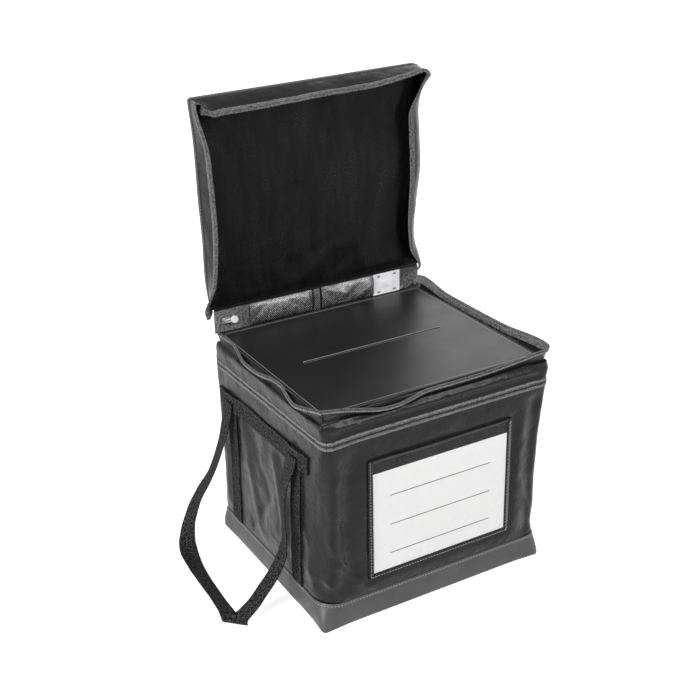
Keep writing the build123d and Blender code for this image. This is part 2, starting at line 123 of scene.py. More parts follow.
def bump(value, place, width):
    return math.exp(-(((value - place) / width) ** 2))


def hermite(t, a, b, slope_a, slope_b):
    return (
        (2 * t**3 - 3 * t**2 + 1) * a
        + (t**3 - 2 * t**2 + t) * slope_a
        + (3 * t**2 - 2 * t**3) * b
        + (t**3 - t**2) * slope_b
    )


def curve(table, value):
    """A smooth curve through given places."""
    if value <= table[0][0]:
        return table[0][1]
    if value >= table[-1][0]:
        return table[-1][1]
    i = next(k for k in range(len(table) - 1) if value <= table[k + 1][0])

    def slope(k):
        a, b = table[max(k - 1, 0)], table[min(k + 1, len(table) - 1)]
        return (b[1] - a[1]) / (b[0] - a[0])

    (x0, v0), (x1, v1) = table[i], table[i + 1]
    run = x1 - x0
    return hermite((value - x0) / run, v0, v1, run * slope(i), run * slope(i + 1))


def folds(p, q, rows):
    """The height at (p, q) of folds: rounded ridges or valleys, each from (p0, q0) to (p1, q1)."""
    total = 0
    for p0, q0, p1, q1, width, height in rows:
        run_p, run_q = p1 - p0, q1 - q0
        t = portion(0, run_p**2 + run_q**2, (p - p0) * run_p + (q - q0) * run_q)
        total += height * bump(math.hypot(p - p0 - t * run_p, q - q0 - t * run_q), 0, width)
    return total


def grain(x, y, z, size, seed):
    """Smooth noise between -1 and 1, about size millimetres across."""
    return noise.noise(Vector((x / size + seed, y / size, z / size)))


# Materials


def grey(level):
    return (level, level, level * 1.03, 1)


def add_node(tree, kind, inputs=(), **settings):
    """A shader node whose inputs are sockets to link or values to set."""
    made = tree.nodes.new(kind)
    for key, value in settings.items():
        setattr(made, key, value)
    for key, value in dict(inputs).items():
        if isinstance(value, bpy.types.NodeSocket):
            tree.links.new(value, made.inputs[key])
        else:
            made.inputs[key].default_value = value
    return made


class Paint:
    """A material round one Principled shader, on UV or Object places in metres; the slot name it keeps is not
    used.
    """

    def __init__(self, name, colour, roughness, slot=None, places="UV", **sockets):
        self.slot = slot or name
        self.material = bpy.data.materials.new(name)
        self.material.use_nodes = True
        self.tree = self.material.node_tree
        self.shader = self.tree.nodes["Principled BSDF"]
        self.shader.inputs["Base Color"].default_value = colour
        self.shader.inputs["Roughness"].default_value = roughness
        for socket, value in sockets.items():
            self.shader.inputs[socket.replace("_", " ")].default_value = value
        self.places = self.node("ShaderNodeTexCoord").outputs[places]

    def node(self, kind, inputs=(), **settings):
        return add_node(self.tree, kind, inputs, **settings)

    def sum(self, operation, *values):
        return self.node("ShaderNodeMath", dict(enumerate(values)), operation=operation).outputs[0]

    def times(self, a, b):
        return self.sum("MULTIPLY", a, b)

    def parts(self):
        return self.node("ShaderNodeSeparateXYZ", {0: self.places}).outputs

    def stretched(self, **settings):
        return self.node("ShaderNodeMapping", {"Vector": self.places, **settings}).outputs[0]

    def noise(self, size, detail=4.0, rough=0.55, places=None):
        """Noise of a given size in millimetres."""
        inputs = {"Vector": places or self.places, "Scale": 1000 / size, "Detail": detail, "Roughness": rough}
        return self.node("ShaderNodeTexNoise", inputs).outputs["Fac"]

    def wave(self, value, pitch):
        """A sine of a length in metres with a pitch in millimetres."""
        return self.sum("SINE", self.times(value, 2000 * math.pi / pitch))

    def weave(self, pitch):
        u, v, _ = self.parts()
        return self.times(self.wave(u, pitch), self.wave(v, pitch))

    def range(self, value, low, high, from_low=0.0, from_high=1.0):
        inputs = {0: value, 1: from_low, 2: from_high, 3: low, 4: high}
        return self.node("ShaderNodeMapRange", inputs).outputs[0]

    def patches(self, size, low=0, high=1, detail=4.0, rough=0.55):
        """Soft patches of a given size, between a low and a high value."""
        return self.range(self.noise(size, detail, rough), low, high, 0.3, 0.7)

    def mix(self, share, colour_a, colour_b):
        return self.node("ShaderNodeMix", {0: share, 6: colour_a, 7: colour_b}, data_type="RGBA").outputs[2]

    def set(self, socket, value):
        self.tree.links.new(value, self.shader.inputs[socket])

    def colour(self, share, colour_a, colour_b):
        self.set("Base Color", self.mix(share, colour_a, colour_b))

    def tint(self, size, dark, light):
        """Uneven colour, as dye and dust leave it."""
        self.colour(self.patches(size), grey(dark), grey(light))

    def relief(self, *layers):
        """Bump layers, each a height, a strength and a depth in millimetres."""
        normal = None
        for height, strength, depth in layers:
            inputs = {"Height": height, "Strength": strength, "Distance": depth * MM}
            if normal is not None:
                inputs["Normal"] = normal
            normal = self.node("ShaderNodeBump", inputs).outputs[0]
        self.set("Normal", normal)
        return self


def coated_cloth():
    """Woven nylon with a glossy coat: plain weave, soft dents and uneven gloss."""
    sheen = {"Sheen_Weight": 0.07, "Sheen_Roughness": 0.4}
    paint = Paint("coated_cloth", grey(0.008), 0.3, Specular_IOR_Level=0.2, **sheen)
    paint.tint(60, 0.003, 0.008)
    paint.set("Roughness", paint.patches(34, 0.22, 0.38))
    return paint.relief((paint.noise(46, 5, 0.5), 0.75, 7.0), (paint.weave(1.1), 0.2, 0.1))


def boot_cloth():
    """Smooth vinyl with a fine grain, rubbed lighter along its folds."""
    paint = Paint("boot_cloth", grey(0.04), 0.44, Specular_IOR_Level=0.5)
    edge = paint.node("ShaderNodeNewGeometry").outputs["Pointiness"]
    rubbed = paint.times(paint.range(edge, 0, 1, 0.5, 0.56), paint.noise(9))
    tone = paint.mix(paint.patches(40), grey(0.024), grey(0.042))
    paint.colour(rubbed, tone, grey(0.085))
    paint.set("Roughness", paint.patches(22, 0.36, 0.54))
    return paint.relief((paint.noise(18), 0.3, 1.2), (paint.noise(1.3, 2), 0.3, 0.15))


def lining_cloth():
    paint = Paint("lining_cloth", grey(0.014), 0.55)
    paint.tint(45, 0.010, 0.020)
    return paint.relief((paint.noise(20), 0.4, 1.5), (paint.weave(0.9), 0.2, 0.1))


def glossy_weave(name, light, roughness, specular, sheen_start, pitch):
    """Shiny woven lining: flat diagonal yarns, with a painted sheen in their colour: light flecks and soft
    upright streaks.
    """
    paint = Paint(name, grey(0.004), roughness, "glossy_weave", Specular_IOR_Level=specular)
    u, v, _ = paint.parts()
    rise = paint.wave(paint.sum("ADD", u, paint.times(v, 0.8)), pitch)
    cross = paint.wave(paint.sum("SUBTRACT", u, paint.times(v, 1.5)), 0.73 * pitch)
    yarn = paint.times(paint.range(rise, 0, 1, -0.5, 1.0), paint.range(cross, 0.15, 1, -0.9, 0.9))
    # Painted sheen: upright streaks and small flecks that make the yarns lighter in colour
    sheen_streaks = paint.noise(22, 5, 0.6, paint.stretched(Scale=(1, 0.22, 1)))
    glint_flecks = paint.range(paint.noise(3.2, 2, 0.7), 0.1, 1, 0.35, 0.75)
    share = paint.times(paint.times(yarn, glint_flecks), paint.range(sheen_streaks, 0, 1, sheen_start, sheen_start + 0.3))
    paint.colour(share, grey(0.0035), grey(light))
    return paint.relief((paint.noise(30), 0.4, 2.4), (yarn, 0.5, 0.34))


def webbing():
    """Coarse polyester webbing with a herringbone weave."""
    paint = Paint("webbing", grey(0.008), 0.8, Specular_IOR_Level=0.1)
    u, v, _ = paint.parts()
    chevron = paint.wave(paint.sum("ADD", u, paint.sum("PINGPONG", v, 0.00625)), 4.0)
    yarn = paint.sum("ADD", chevron, paint.times(paint.wave(v, 2.4), 0.5))
    speck = paint.range(paint.noise(3.4, 1, 0.4), 0, 1, 0.36, 0.64)
    tone = paint.mix(paint.times(paint.range(yarn, 0.15, 1, -1.2, 1.2), speck), grey(0.001), grey(0.09))
    dust = paint.range(paint.noise(14), 0, 0.4, 0.45, 0.75)
    paint.colour(dust, tone, grey(0.022))
    return paint.relief((yarn, 0.9, 0.7))


def zip_tape(name, pale):
    """Woven zip tape, a little paler than the cloth, with ribs along it."""
    paint = Paint(name, grey(0.06), 0.72, "zip_tape", Specular_IOR_Level=0.35)
    u, v, _ = paint.parts()
    ribs = paint.sum("ADD", paint.wave(v, 1.0), paint.times(paint.wave(u, 1.3), 0.5))
    speck = paint.range(paint.noise(3.0, 1, 0.4), 0, 1, 0.38, 0.62)
    share = paint.times(paint.range(ribs, 0.3, 1, -1.3, 1.3), speck)
    tone = paint.mix(share, grey(0.035 * pale), grey(0.20 * pale))
    dust = paint.range(paint.noise(25, 3), 0, 0.4, 0.4, 0.75)
    paint.colour(dust, tone, grey(0.15 * pale))
    return paint.relief((ribs, 0.4, 0.2))


def binding_tape():
    paint = Paint("binding_tape", grey(0.032), 0.6, Specular_IOR_Level=0.4)
    paint.tint(16, 0.012, 0.024)
    return paint.relief((paint.wave(paint.parts()[0], 0.9), 0.3, 0.15))


def plain(name, level, roughness, size, depth, slot=None, **sockets):
    """A hard or fine material, for the carried-over solids, beads and threads."""
    paint = Paint(name, grey(level), roughness, slot, "Object", **sockets)
    paint.colour(paint.patches(12), grey(level * 0.86), grey(min(1.0, level * 1.1)))
    paint.set("Roughness", paint.patches(7, roughness * 0.85, min(1.0, roughness * 1.2), 3))
    return paint.relief((paint.noise(size, 2), 0.25, depth))


def deck_board():
    """Stiff plastic board with a fine pebble, smudges and a few light scuffs."""
    paint = Paint("deck_board", grey(0.006), 0.33, places="Object", Specular_IOR_Level=0.5)
    scratched = paint.noise(22, 6, 0.7, paint.stretched(Scale=(1, 14, 1), Rotation=(0, 0, 0.5)))
    paint.colour(paint.range(scratched, 0, 0.45, 0.66, 0.8), grey(0.006), grey(0.03))
    paint.set("Roughness", paint.patches(45, 0.40, 0.47, 5, 0.6))
    return paint.relief((paint.noise(90, 2), 0.07, 3.0), (paint.noise(0.9, 2), 0.12, 0.08))


def card_paper():
    """Matt white card with three plain ruled lines, at heights, a middle and half sizes in metres."""
    paint = Paint("card_paper", grey(0.8), 0.6, places="Object", Specular_IOR_Level=0.4)
    x, _, z = paint.parts()

    def within(value, place, reach):
        away = paint.sum("ABSOLUTE", paint.sum("SUBTRACT", value, place))
        return paint.sum("LESS_THAN", away, reach)

    ruled = within(z, 0.174, 0.0007)
    for height in (0.131, 0.088):
        ruled = paint.sum("MAXIMUM", ruled, within(z, height, 0.0007))
    paper = paint.mix(paint.patches(6, detail=5), (0.87, 0.87, 0.865, 1), (0.91, 0.91, 0.905, 1))
    paint.colour(paint.times(ruled, within(x, 0.006, 0.078)), paper, grey(0.16))
    return paint.relief((paint.noise(60, 3), 0.2, 1.0))


def window_film():
    """Clear film: nearly all see-through, with a soft shine."""
    paint = Paint("window_film", grey(0.04), 0.16, Specular_IOR_Level=0.5, Alpha=0.07)
    paint.set("Roughness", paint.patches(30, 0.1, 0.26, 3))
    return paint.relief((paint.noise(38, 3), 0.3, 1.5))


COATED = coated_cloth()
BOOT = boot_cloth()
LINING = lining_cloth()
# The second number is how light the painted sheen makes the yarns, far more on the hinge facings
GLOSSY = glossy_weave("glossy_weave", 0.055, 0.26, 0.09, 0.40, 3.9)
SHINY = glossy_weave("shiny_weave", 0.8, 0.26, 1.0, 0.2, 2.9)
WEBBING = webbing()
TAPE = zip_tape("zip_tape", 0.95)
# The same zip tape made paler for the end tape on the hinge band: painted light, for a tape that gets less
# light than the rim's
LIT_END_TAPE = zip_tape("end_tape", 1.35)
BINDING = binding_tape()
DECK = deck_board()
CARD = card_paper()
FILM = window_film()
COIL = plain("zip_coil", 0.02, 0.4, 1.5, 0.1, "zip_tape")
THREAD = plain("thread", 0.24, 0.6, 0.6, 0.1, "binding_tape")
DARK_THREAD = plain("dark_thread", 0.03, 0.62, 0.6, 0.1, "webbing")
PLASTIC = plain("white_plastic", 0.76, 0.36, 3, 0.05)
METAL = plain("zip_metal", 0.5, 0.3, 1.2, 0.04, Metallic=1.0)
SLOT_EDGE = plain("slot_edge", 0.2, 0.5, 1.2, 0.05, "deck_board")


# Meshes


def finish_mesh(name, points, faces, uvs, paint, body, slot=None, sharp=42.0):
    """A smooth piece, in its material, that rides on a body unless body is None; its slot is not used."""
    mesh = bpy.data.meshes.new(name)
    mesh.from_pydata([tuple(p * MM) for p in np.asarray(points, float)], [], faces)
    if uvs is not None:
        layer = mesh.uv_layers.new(name="UVMap")
        layer.data.foreach_set("uv", np.asarray(uvs, np.float32).ravel())
    work = bmesh.new()
    work.from_mesh(mesh)
    bmesh.ops.recalc_face_normals(work, faces=work.faces)
    work.to_mesh(mesh)
    work.free()
    mesh.polygons.foreach_set("use_smooth", [True] * len(mesh.polygons))
    mesh.set_sharp_from_angle(angle=math.radians(sharp))
    piece = bpy.data.objects.new(name, mesh)
    bpy.context.scene.collection.objects.link(piece)
    mesh.materials.append(paint.material)
    if body:
        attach(piece, body)
    slot or paint.slot
    return piece


def tube(name, loops, paint, body, slot=None, closed=False):
    """A closed skin through cross-sections: outer points, and then as many inner ones, coming back."""
    loops = np.asarray(loops, float)
    count, around = loops.shape[:2]
    run = np.linalg.norm(np.diff(np.concatenate([loops, loops[:1]]), axis=0), axis=2).mean(axis=1)
    along = np.concatenate([[0], np.cumsum(run)]) * MM
    ring = np.concatenate([loops, loops[:, :1]], axis=1)
    across = np.concatenate([[0], np.cumsum(np.linalg.norm(np.diff(ring, axis=1), axis=2).mean(axis=0))]) * MM
    faces, uvs = [], []
    for i in range(count if closed else count - 1):
        j = (i + 1) % count
        for k in range(around):
            m = (k + 1) % around
            faces.append((i * around + k, j * around + k, j * around + m, i * around + m))
            uvs += [(along[a], across[b]) for a, b in ((i, k), (i + 1, k), (i + 1, k + 1), (i, k + 1))]
    if not closed:
        for i in (0, count - 1):
            for k in range(around // 2 - 1):
                corners = (k, k + 1, around - 2 - k, around - 1 - k)
                faces.append(tuple(i * around + c for c in corners))
                uvs += [(along[i], across[c]) for c in corners]
    return finish_mesh(name, loops.reshape(-1, 3), faces, uvs, paint, body, slot)


def sheet(name, us, vs, place, paint, body, slot=None):
    """A sheet with thickness; place(u, v) gives its front and its back point."""
    loops = []
    for u in us:
        pairs = [place(u, v) for v in vs]
        loops.append([front for front, _ in pairs] + [back for _, back in reversed(pairs)])
    return tube(name, loops, paint, body, slot)


def steps(low, high, step):
    count = max(1, round((high - low) / step))
    return [low + (high - low) * i / count for i in range(count + 1)]


def outline(half_x, half_y, radius, rear=None):
    """Places round a rounded rectangle, from the back left over the front: x, y, normal, distance round."""
    places = []
    side, front = 2 * half_y, 2 * half_x

    def run(a, b, normal, s):
        length = math.dist(a, b)
        count = max(1, round(length / STEP))
        for i in range(count):
            t = i / count
            places.append((a[0] + t * (b[0] - a[0]), a[1] + t * (b[1] - a[1]), *normal, s + t * length))

    def turn(x, y, start, s, count=8):
        for i in range(count):
            t = i / count
            nx, ny = math.cos(start + t * math.pi / 2), math.sin(start + t * math.pi / 2)
            places.append((x + radius * nx, y + radius * ny, nx, ny, s - radius + t * 2 * radius))

    in_x, in_y = half_x - radius, half_y - radius
    start_y = in_y if rear is None else rear
    run((-half_x, start_y), (-half_x, -in_y), (-1, 0), half_y - start_y)
    turn(-in_x, -in_y, math.pi, side)
    run((-in_x, -half_y), (in_x, -half_y), (0, -1), side + radius)
    turn(in_x, -in_y, 1.5 * math.pi, side + front)
    run((half_x, -in_y), (half_x, start_y), (1, 0), side + front + radius)
    if rear is None:
        turn(in_x, in_y, 0, 2 * side + front)
        run((in_x, half_y), (-in_x, half_y), (0, 1), 2 * side + front + radius)
        turn(-in_x, in_y, math.pi / 2, 2 * (side + front))
    else:
        places.append((half_x, rear, 1, 0, side + front + half_y + rear))
    return places


def moved(place, offset, z, move):
    """A place of a path, at an offset outwards and a height, as move says how the soft bag stands there."""
    x, y, nx, ny, s = place
    dx, dy, dz = move(x, y, nx, ny, s, z, offset)
    return x + nx * offset + dx, y + ny * offset + dy, z + dz


def band(name, path, section, move, paint, body, slot=None, closed=True):
    """A band round the bag. section is (offset, z) pairs: outer ones from the bottom up, inner ones back."""
    loops = [[moved(place, offset, z, move) for offset, z in section] for place in path]
    return tube(name, loops, paint, body, slot, closed)


def two_faced(rows, thickness):
    """A cross-section of one thickness from its outer (offset, z) rows."""
    return rows + [(offset - thickness, z) for offset, z in reversed(rows)]


def beads(name, rows, paint, body, slot=None):
    """Small long beads, such as stitches or teeth, as one piece: each has two tips and two squares between.

    A row is a bead's middle, run, outward way, length, width and height.
    """
    points, faces = [], []
    for centre, along, out, length, width, height in rows:
        centre, along, out = Vector(centre), Vector(along).normalized(), Vector(out).normalized()
        side = along.cross(out).normalized()
        base = len(points)
        points.append(centre - along * length / 2)
        for share in (-0.33, 0.33):
            for a, b in ((1, 0), (0, 1), (-1, 0), (0, -1)):
                points.append(centre + along * length * share + side * a * width / 2 + out * b * height / 2)
        points.append(centre + along * length / 2)
        for k in range(4):
            m = (k + 1) % 4
            faces.append((base, base + 1 + m, base + 1 + k))
            faces.append((base + 1 + k, base + 1 + m, base + 5 + m, base + 5 + k))
            faces.append((base + 9, base + 5 + k, base + 5 + m))
    finish_mesh(name, points, faces, None, paint, body, slot, sharp=80.0)


def walk(line, pitch):
    """Places a pitch apart along a line of (point, outward way) pairs, with the line's run there."""
    points = [Vector(p) for p, _ in line]
    ways = [Vector(w) for _, w in line]
    found, left = [], pitch / 2
    for a, b, wa, wb in zip(points, points[1:], ways, ways[1:]):
        length = (b - a).length
        while left <= length and length > 0:
            t = left / length
            found.append((a.lerp(b, t), (b - a).normalized(), wa.lerp(wb, t)))
            left += pitch
        left -= length
    return found


def stitch_rows(line, length=3.0, gap=1.3, width=1.0, height=0.7):
    return [(p, run, out, length, width, height) for p, run, out in walk(line, length + gap)]


FINE = {"length": 2.4, "gap": 1.1, "height": 0.5}  # the stitches beside zips


def tooth_rows(line, up, length=1.4, pitch=1.35, width=0.95, height=1.0):
    """Zip teeth: short beads across the tape."""
    return [(p, up, out, length, width, height) for p, _, out in walk(line, pitch)]


# The soft shape of the bag: how far its rim stands out and up, by the distance round

RIM_OUT = (
    (0, -2), (20, -5), (47, -7.5), (73, -4), (92, 0), (112, 2), (142, 3), (158, 0), (171, -4),
    (194, -6), (210, -3), (226, 0.5), (245, 3.5), (262, 2.5), (282, -3), (300, -7), (320, -6),
    (338, -4), (370, -1.3), (389, -1), (419, -0.8), (452, -1.2), (496, -1), (543, -1), (604, 0),
    (625, 3), (645, 8), (688, 9), (730, 8), (788, 7), (888, 6), (938, 2), (960, 0), (1250, 0),
    (1276, 0),
)
RIM_UP = (
    (0, 4), (45, 3), (89, -3), (120, -2), (165, 1), (190, 0), (210, -3), (240, -2.5), (262, 1.5),
    (282, 5), (300, 7), (320, 5), (338, 2.5), (355, -1), (370, -4.5), (389, -8.5), (410, -9), (430, -6),
    (452, -1), (496, -0.5), (543, 0.2), (604, 5), (625, 9), (645, 12), (665, 12), (688, 10), (730, 6),
    (788, 5), (870, 5), (888, 7), (905, 11), (920, 14), (938, 15), (950, 11), (962, 4), (975, 0),
    (1250, 0), (1268, 0), (1276, 4),
)
# The front of the collar, how far out at each height: a rounded shoulder, and the crease over it
SHOULDER = (
    (268, 0), (274, -0.8), (279, -2.8), (282, -2.4), (285, -0.2), (287, 0.7), (289, 0), (291.5, -1.9),
    (294, -3.8), (299, -1.5), (303, 0),
)
# Folds in the walls: from and to as distance round and height, then width and height of the fold
LEFT_WALL_FOLDS = (
    (18, 205, 26, 60, 8, 1.6), (80, 205, 118, 70, 9, 1.8), (92, 212, 150, 128, 9, -2.0),
    (140, 205, 128, 150, 8, 1.4), (168, 196, 196, 92, 6, 2.3), (184, 200, 206, 120, 5, -1.8),
    (205, 196, 203, 64, 6, -1.5), (140, 62, 184, 84, 16, 2.6), (100, 52, 150, 118, 7, -1.4),
    (250, 200, 262, 70, 9, 1.0), (276, 190, 284, 60, 9, -1.4),
)
FRONT_WALL_FOLDS = (
    (309, 210, 308, 70, 11, 4.0), (339, 235, 336, 70, 17, -3.6), (362, 210, 366, 120, 12, 1.6),
    (304, 132, 346, 58, 6, 2.6), (316, 96, 372, 43, 5, 2.2), (326, 150, 358, 70, 5, -2.0),
    (336, 128, 352, 96, 5, 1.4), (300, 70, 330, 40, 5, 1.6), (597, 225, 596, 80, 8, 1.0),
    (616, 240, 622, 45, 12, -3.4), (606, 120, 632, 60, 6, 1.4), (600, 250, 560, 240, 6, -0.8),
)
UNSEEN_WALL_FOLDS = (
    (668, 220, 690, 70, 10, -2.4), (745, 210, 760, 60, 12, 2.2), (800, 215, 778, 70, 10, -2.4),
    (840, 200, 856, 90, 8, 1.8), (915, 200, 910, 60, 9, -1.6), (985, 230, 1010, 60, 14, -2.2),
    (1060, 225, 1048, 50, 13, 2.0), (1118, 215, 1136, 60, 12, -2.4), (1190, 220, 1182, 60, 12, 1.8),
    (1238, 210, 1230, 60, 9, -1.6),
)
WALL_FOLDS = LEFT_WALL_FOLDS + FRONT_WALL_FOLDS + UNSEEN_WALL_FOLDS

# Corners of the bag: distance round, the way of each from the middle, and the way its arc starts.
# The wall corners are rounder low down, the collar's front ones sharper, and the boot's stand out low down.
CORNERS = (
    (FRONT_LEFT, -1, -1, math.pi),
    (FRONT_RIGHT, 1, -1, 1.5 * math.pi),
    (REAR_RIGHT, 1, 1, 0.0),
    (PERIMETER, -1, 1, 0.5 * math.pi),
)
ROUNDER = (20, 8, 6, 6)
COLLAR_SHARPER = (7, 4, 0, 0)
BOOT_STANDS_OUT = ((-3.2, -2.6), (2.0, -2.4), (1.2, 1.2), (-1.2, 1.0))


def turned(x, y, nx, ny, s, offset, radii):
    """How far a place moves, and its new outward way, when the corners take other radii."""
    for (place, side_x, side_y, start), radius in zip(CORNERS, radii):
        away = (s - place + PERIMETER / 2) % PERIMETER - PERIMETER / 2
        if abs(away) > max(radius, CORNER) + 0.1:
            continue
        before = (math.cos(start), math.sin(start))
        after = (-math.sin(start), math.cos(start))
        corner = (side_x * HALF_X, side_y * HALF_Y)
        if abs(away) < radius:
            angle = start + (away + radius) / (2 * radius) * math.pi / 2
            way = (math.cos(angle), math.sin(angle))
            px, py = (
                c - radius * (b + a) + (radius + offset) * w
                for c, b, a, w in zip(corner, before, after, way)
            )
        else:
            way, run = (before, after) if away < 0 else (after, (-before[0], -before[1]))
            px, py = (c + r * away + w * offset for c, r, w in zip(corner, run, way))
        return px - x - nx * offset, py - y - ny * offset, *way
    return 0.0, 0.0, nx, ny


def wall_radii(z):
    share = 1 - smooth(196, SEAM_Z - 4, z)
    return [CORNER + grown * share for grown in ROUNDER]


def boot_radii(z):
    share = portion(0, BOOT_Z, z) ** 1.2
    return [5 + (CORNER + grown - 5) * share for grown in ROUNDER]


def lean(x, y, z):
    """How far the upper part of the bag has moved over, as the filled soft bag stands."""
    share = (max(z, 0.0) / RIM_Z) ** 1.3
    front = portion(HALF_Y, -HALF_Y, y)
    right = portion(-HALF_X, HALF_X, x)
    left_end = 1 - smooth(-166, -112, x)
    swing = 5.5 * smooth(120, 235, z) * right**2 * front
    held = 1 - right**6 * smooth(-HALF_Y, -123, y)
    across = share * (6 * front - 1.5 * (1 - front) * (1 - right)) + swing
    return held * across, -4 * share * front * left_end


def near_pocket(s, z, reach):
    """1 over the label pocket and its seams, fading to 0 at a reach from its edges."""
    left, right = (FRONT_LEFT + HALF_X + x for x in (POCKET_LEFT - 2, POCKET_RIGHT + 2))
    low, high = round(POCKET_LOW - 2), round(POCKET_HIGH + 2)
    beside = window(s, left - reach, left, right, right + reach)
    return beside * window(z, low - reach, low, high, high + reach)


def wall_swell(x, y, s, z):
    """How far the wall cloth stands out of its flat place."""
    swell = folds(s, z, WALL_FOLDS) + 0.9 * grain(x, y, z, 52, 3.1) + 0.3 * grain(x, y, z, 15, 7.7)
    over_pocket = near_pocket(s, z, 5)
    swell *= 1 - 0.9 * over_pocket
    swell = swell - max(0.0, swell - 0.3) * over_pocket
    swell = 1.35 * swell + 1.9 * near_pocket(s, z, 34) * (1 - over_pocket)
    swell *= 1 - 0.75 * smooth(SEAM_Z - 18, SEAM_Z - 4, z)
    swell -= 2.4 * bump(s, FRONT_RIGHT, 26) * bump(z, 50, 26)
    card_way = window(s, 352, 368, 582, 598) * smooth(226, 233, z)
    zip_way = window(s, 650, 660, 930, 940) * smooth(SEAM_Z - 18, SEAM_Z - 10, z)
    swell -= max(0.0, swell - 1.0) * card_way + max(0.0, swell) * zip_way
    return swell * smooth(33, 52, z) + 1.2 * window(z, BOOT_Z - 0.5, BOOT_Z + 4, 60, 120)


def wall_move(x, y, nx, ny, s, z, offset):
    dx, dy = lean(x, y, z)
    tx, ty, wx, wy = turned(x, y, nx, ny, s, offset, wall_radii(z))
    swell = wall_swell(x, y, s, z)
    return dx + tx + wx * swell, dy + ty + wy * swell, 0.0


def rim_move(x, y, nx, ny, s, z, offset):
    """The collar: a shoulder above the seam, a crease behind it, and the wavy rim that rises there."""
    share = smooth(290.5, 303.5, z)
    level = smooth(SEAM_Z + 20 * bump(s, FRONT_RIGHT, 45), GUTTER_Z, z)
    dx, dy = lean(x, y, SEAM_Z)
    sharp = smooth(272, 286, z)
    tx, ty, wx, wy = turned(x, y, nx, ny, s, offset, [CORNER - less * sharp for less in COLLAR_SHARPER])
    back = window(s, REAR_RIGHT - 4, REAR_RIGHT + 12, PERIMETER - 14, PERIMETER)
    front = window(s, FRONT_LEFT + 4, FRONT_LEFT + 36, FRONT_RIGHT - 38, FRONT_RIGHT - 4)
    pinch = bump(x, -50, 4) + bump(x, 10, 4) + 0.8 * bump(x, 84, 3.5) + 0.7 * bump(x, 96, 3.5)
    roll = curve(SHOULDER, z) * (0.95 + 0.25 * grain(x, y, 0, 40, 5.5)) - 1.8 * pinch * bump(z, 288, 3.5)
    swell = 0.8 * grain(x, y, z, 30, 9.3) * window(z, SEAM_Z, 280, 296, GUTTER_Z)
    swell *= 1 - 0.6 * max(front, smooth(160, 168, x))
    push = (1 - back) * (0.4 * bump(z, 288.8, 3.5) + swell + front * roll)
    push += curve(RIM_OUT, s % PERIMETER) * share
    up = curve(RIM_UP, s % PERIMETER) * share
    return dx * (1 - level) + tx + wx * push, dy * (1 - level) + ty + wy * push, up


def gutter_move(x, y, nx, ny, s, z, offset):
    """The gutter follows the rim at its outer edge and the deck at its inner edge."""
    share = smooth(-7.5, -2.0, offset)
    wave = 0.8 * grain(x, y, z, 16, 2.2) * bump(offset, -4.5, 2.5)
    dx, dy, dz = rim_move(x, y, nx, ny, s, GUTTER_Z, offset)
    return dx * share, dy * share, dz * share + wave


def boot_move(x, y, nx, ny, s, z, offset):
    """The boot: sharp folded corners that stand out at the foot, and a slightly uneven face."""
    low = 0.35 + 0.65 * (1 - smooth(0, BOOT_Z, z))
    tx, ty, wx, wy = turned(x, y, nx, ny, s, offset, boot_radii(z))
    for (_, side_x, side_y, _), (out_x, out_y) in zip(CORNERS, BOOT_STANDS_OUT):
        near = low * bump(math.hypot(x - side_x * HALF_X, y - side_y * HALF_Y), 0, 24)
        tx += out_x * near
        ty += out_y * near
    swell = 1.3 * (0.5 + 0.5 * grain(x, y, z, 45, 4.4)) * window(z, 1.5, 12, 22, BOOT_Z) * smooth(0.0, 4.0, z)
    return tx + wx * swell, ty + wy * swell, 0.0


def straight(*place):
    return 0.0, 0.0, 0.0


def path_line(path, offset, z, move):
    """The line of a seam round the bag: its points and the way outwards there."""
    return [(moved(place, offset, z, move), (*place[2:4], 0)) for place in path]


# Bag

ring_path = outline(HALF_X, HALF_Y, CORNER)
zip_path = outline(HALF_X, HALF_Y, CORNER, rear=HALF_Y - CORNER)
boot_path = outline(HALF_X, HALF_Y, 3.6)

wall_rows = [(0.0, z) for z in [3.4, 12, 22, 30] + steps(34, 262, 4.6) + [265, 267.2]]
bag_cloth = band("bag_cloth", ring_path, two_faced(wall_rows, CLOTH), wall_move, COATED, "bag")
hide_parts("front_wall", "back_wall", "left_wall", "right_wall")

lining_rows = [(-4.0, z) for z in steps(7.6, 252, 12)] + [(-3.7, 258), (-2.6, 262.5), (-1.7, 265.2)]
inner_lining = band("inner_lining_cloth", ring_path, two_faced(lining_rows, 0.7), wall_move, LINING, "bag")
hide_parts("inner_lining", "front_board", "back_board", "left_board", "right_board")


def floor_place(x, y):
    rise = 0.8 * grain(x, y, 0, 60, 1.3) + 0.25 * grain(x, y, 0, 18, 2.9)
    return (x, y, 8.6 + rise), (x, y, 7.1)


floor_xs, floor_ys = (steps(5 - half, half - 5, 8) for half in (HALF_X, HALF_Y))
inner_floor = sheet("inner_floor", floor_xs, floor_ys, floor_place, LINING, "bag")
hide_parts("base_board")

boot_rows = [(0.4, 0.05), (1.2, 0.5), (1.8, 1.6), (2.0, 3.6), (2.0, 9), (1.9, 15), (1.8, 21)]
boot_rows += [(1.5, 27), (1.2, 32), (1.05, 34.4), (0.8, 34.9)]
boot_section = boot_rows + [(0.2, z) for _, z in reversed(boot_rows)]
boot = band("boot", boot_path, boot_section, boot_move, BOOT, "bag")
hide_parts("boot_band")
binding_rows = [(1.35, 30.6), (1.55, 31.0), (1.55, 32.4), (1.5, 34.0), (1.35, 35.1), (0.9, 35.4)]
binding_section = two_faced(binding_rows, 0.5)
binding = band("boot_binding_tape", boot_path, binding_section, boot_move, BOOT, "bag", "binding_tape")
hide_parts("boot_binding")
boot_seam = path_line(boot_path + boot_path[:1], 1.6, 32.6, boot_move)
beads("boot_stitches", stitch_rows(boot_seam, length=3.2, gap=1.4, width=1.2, height=0.9), THREAD, "bag")


# Zips round the bag


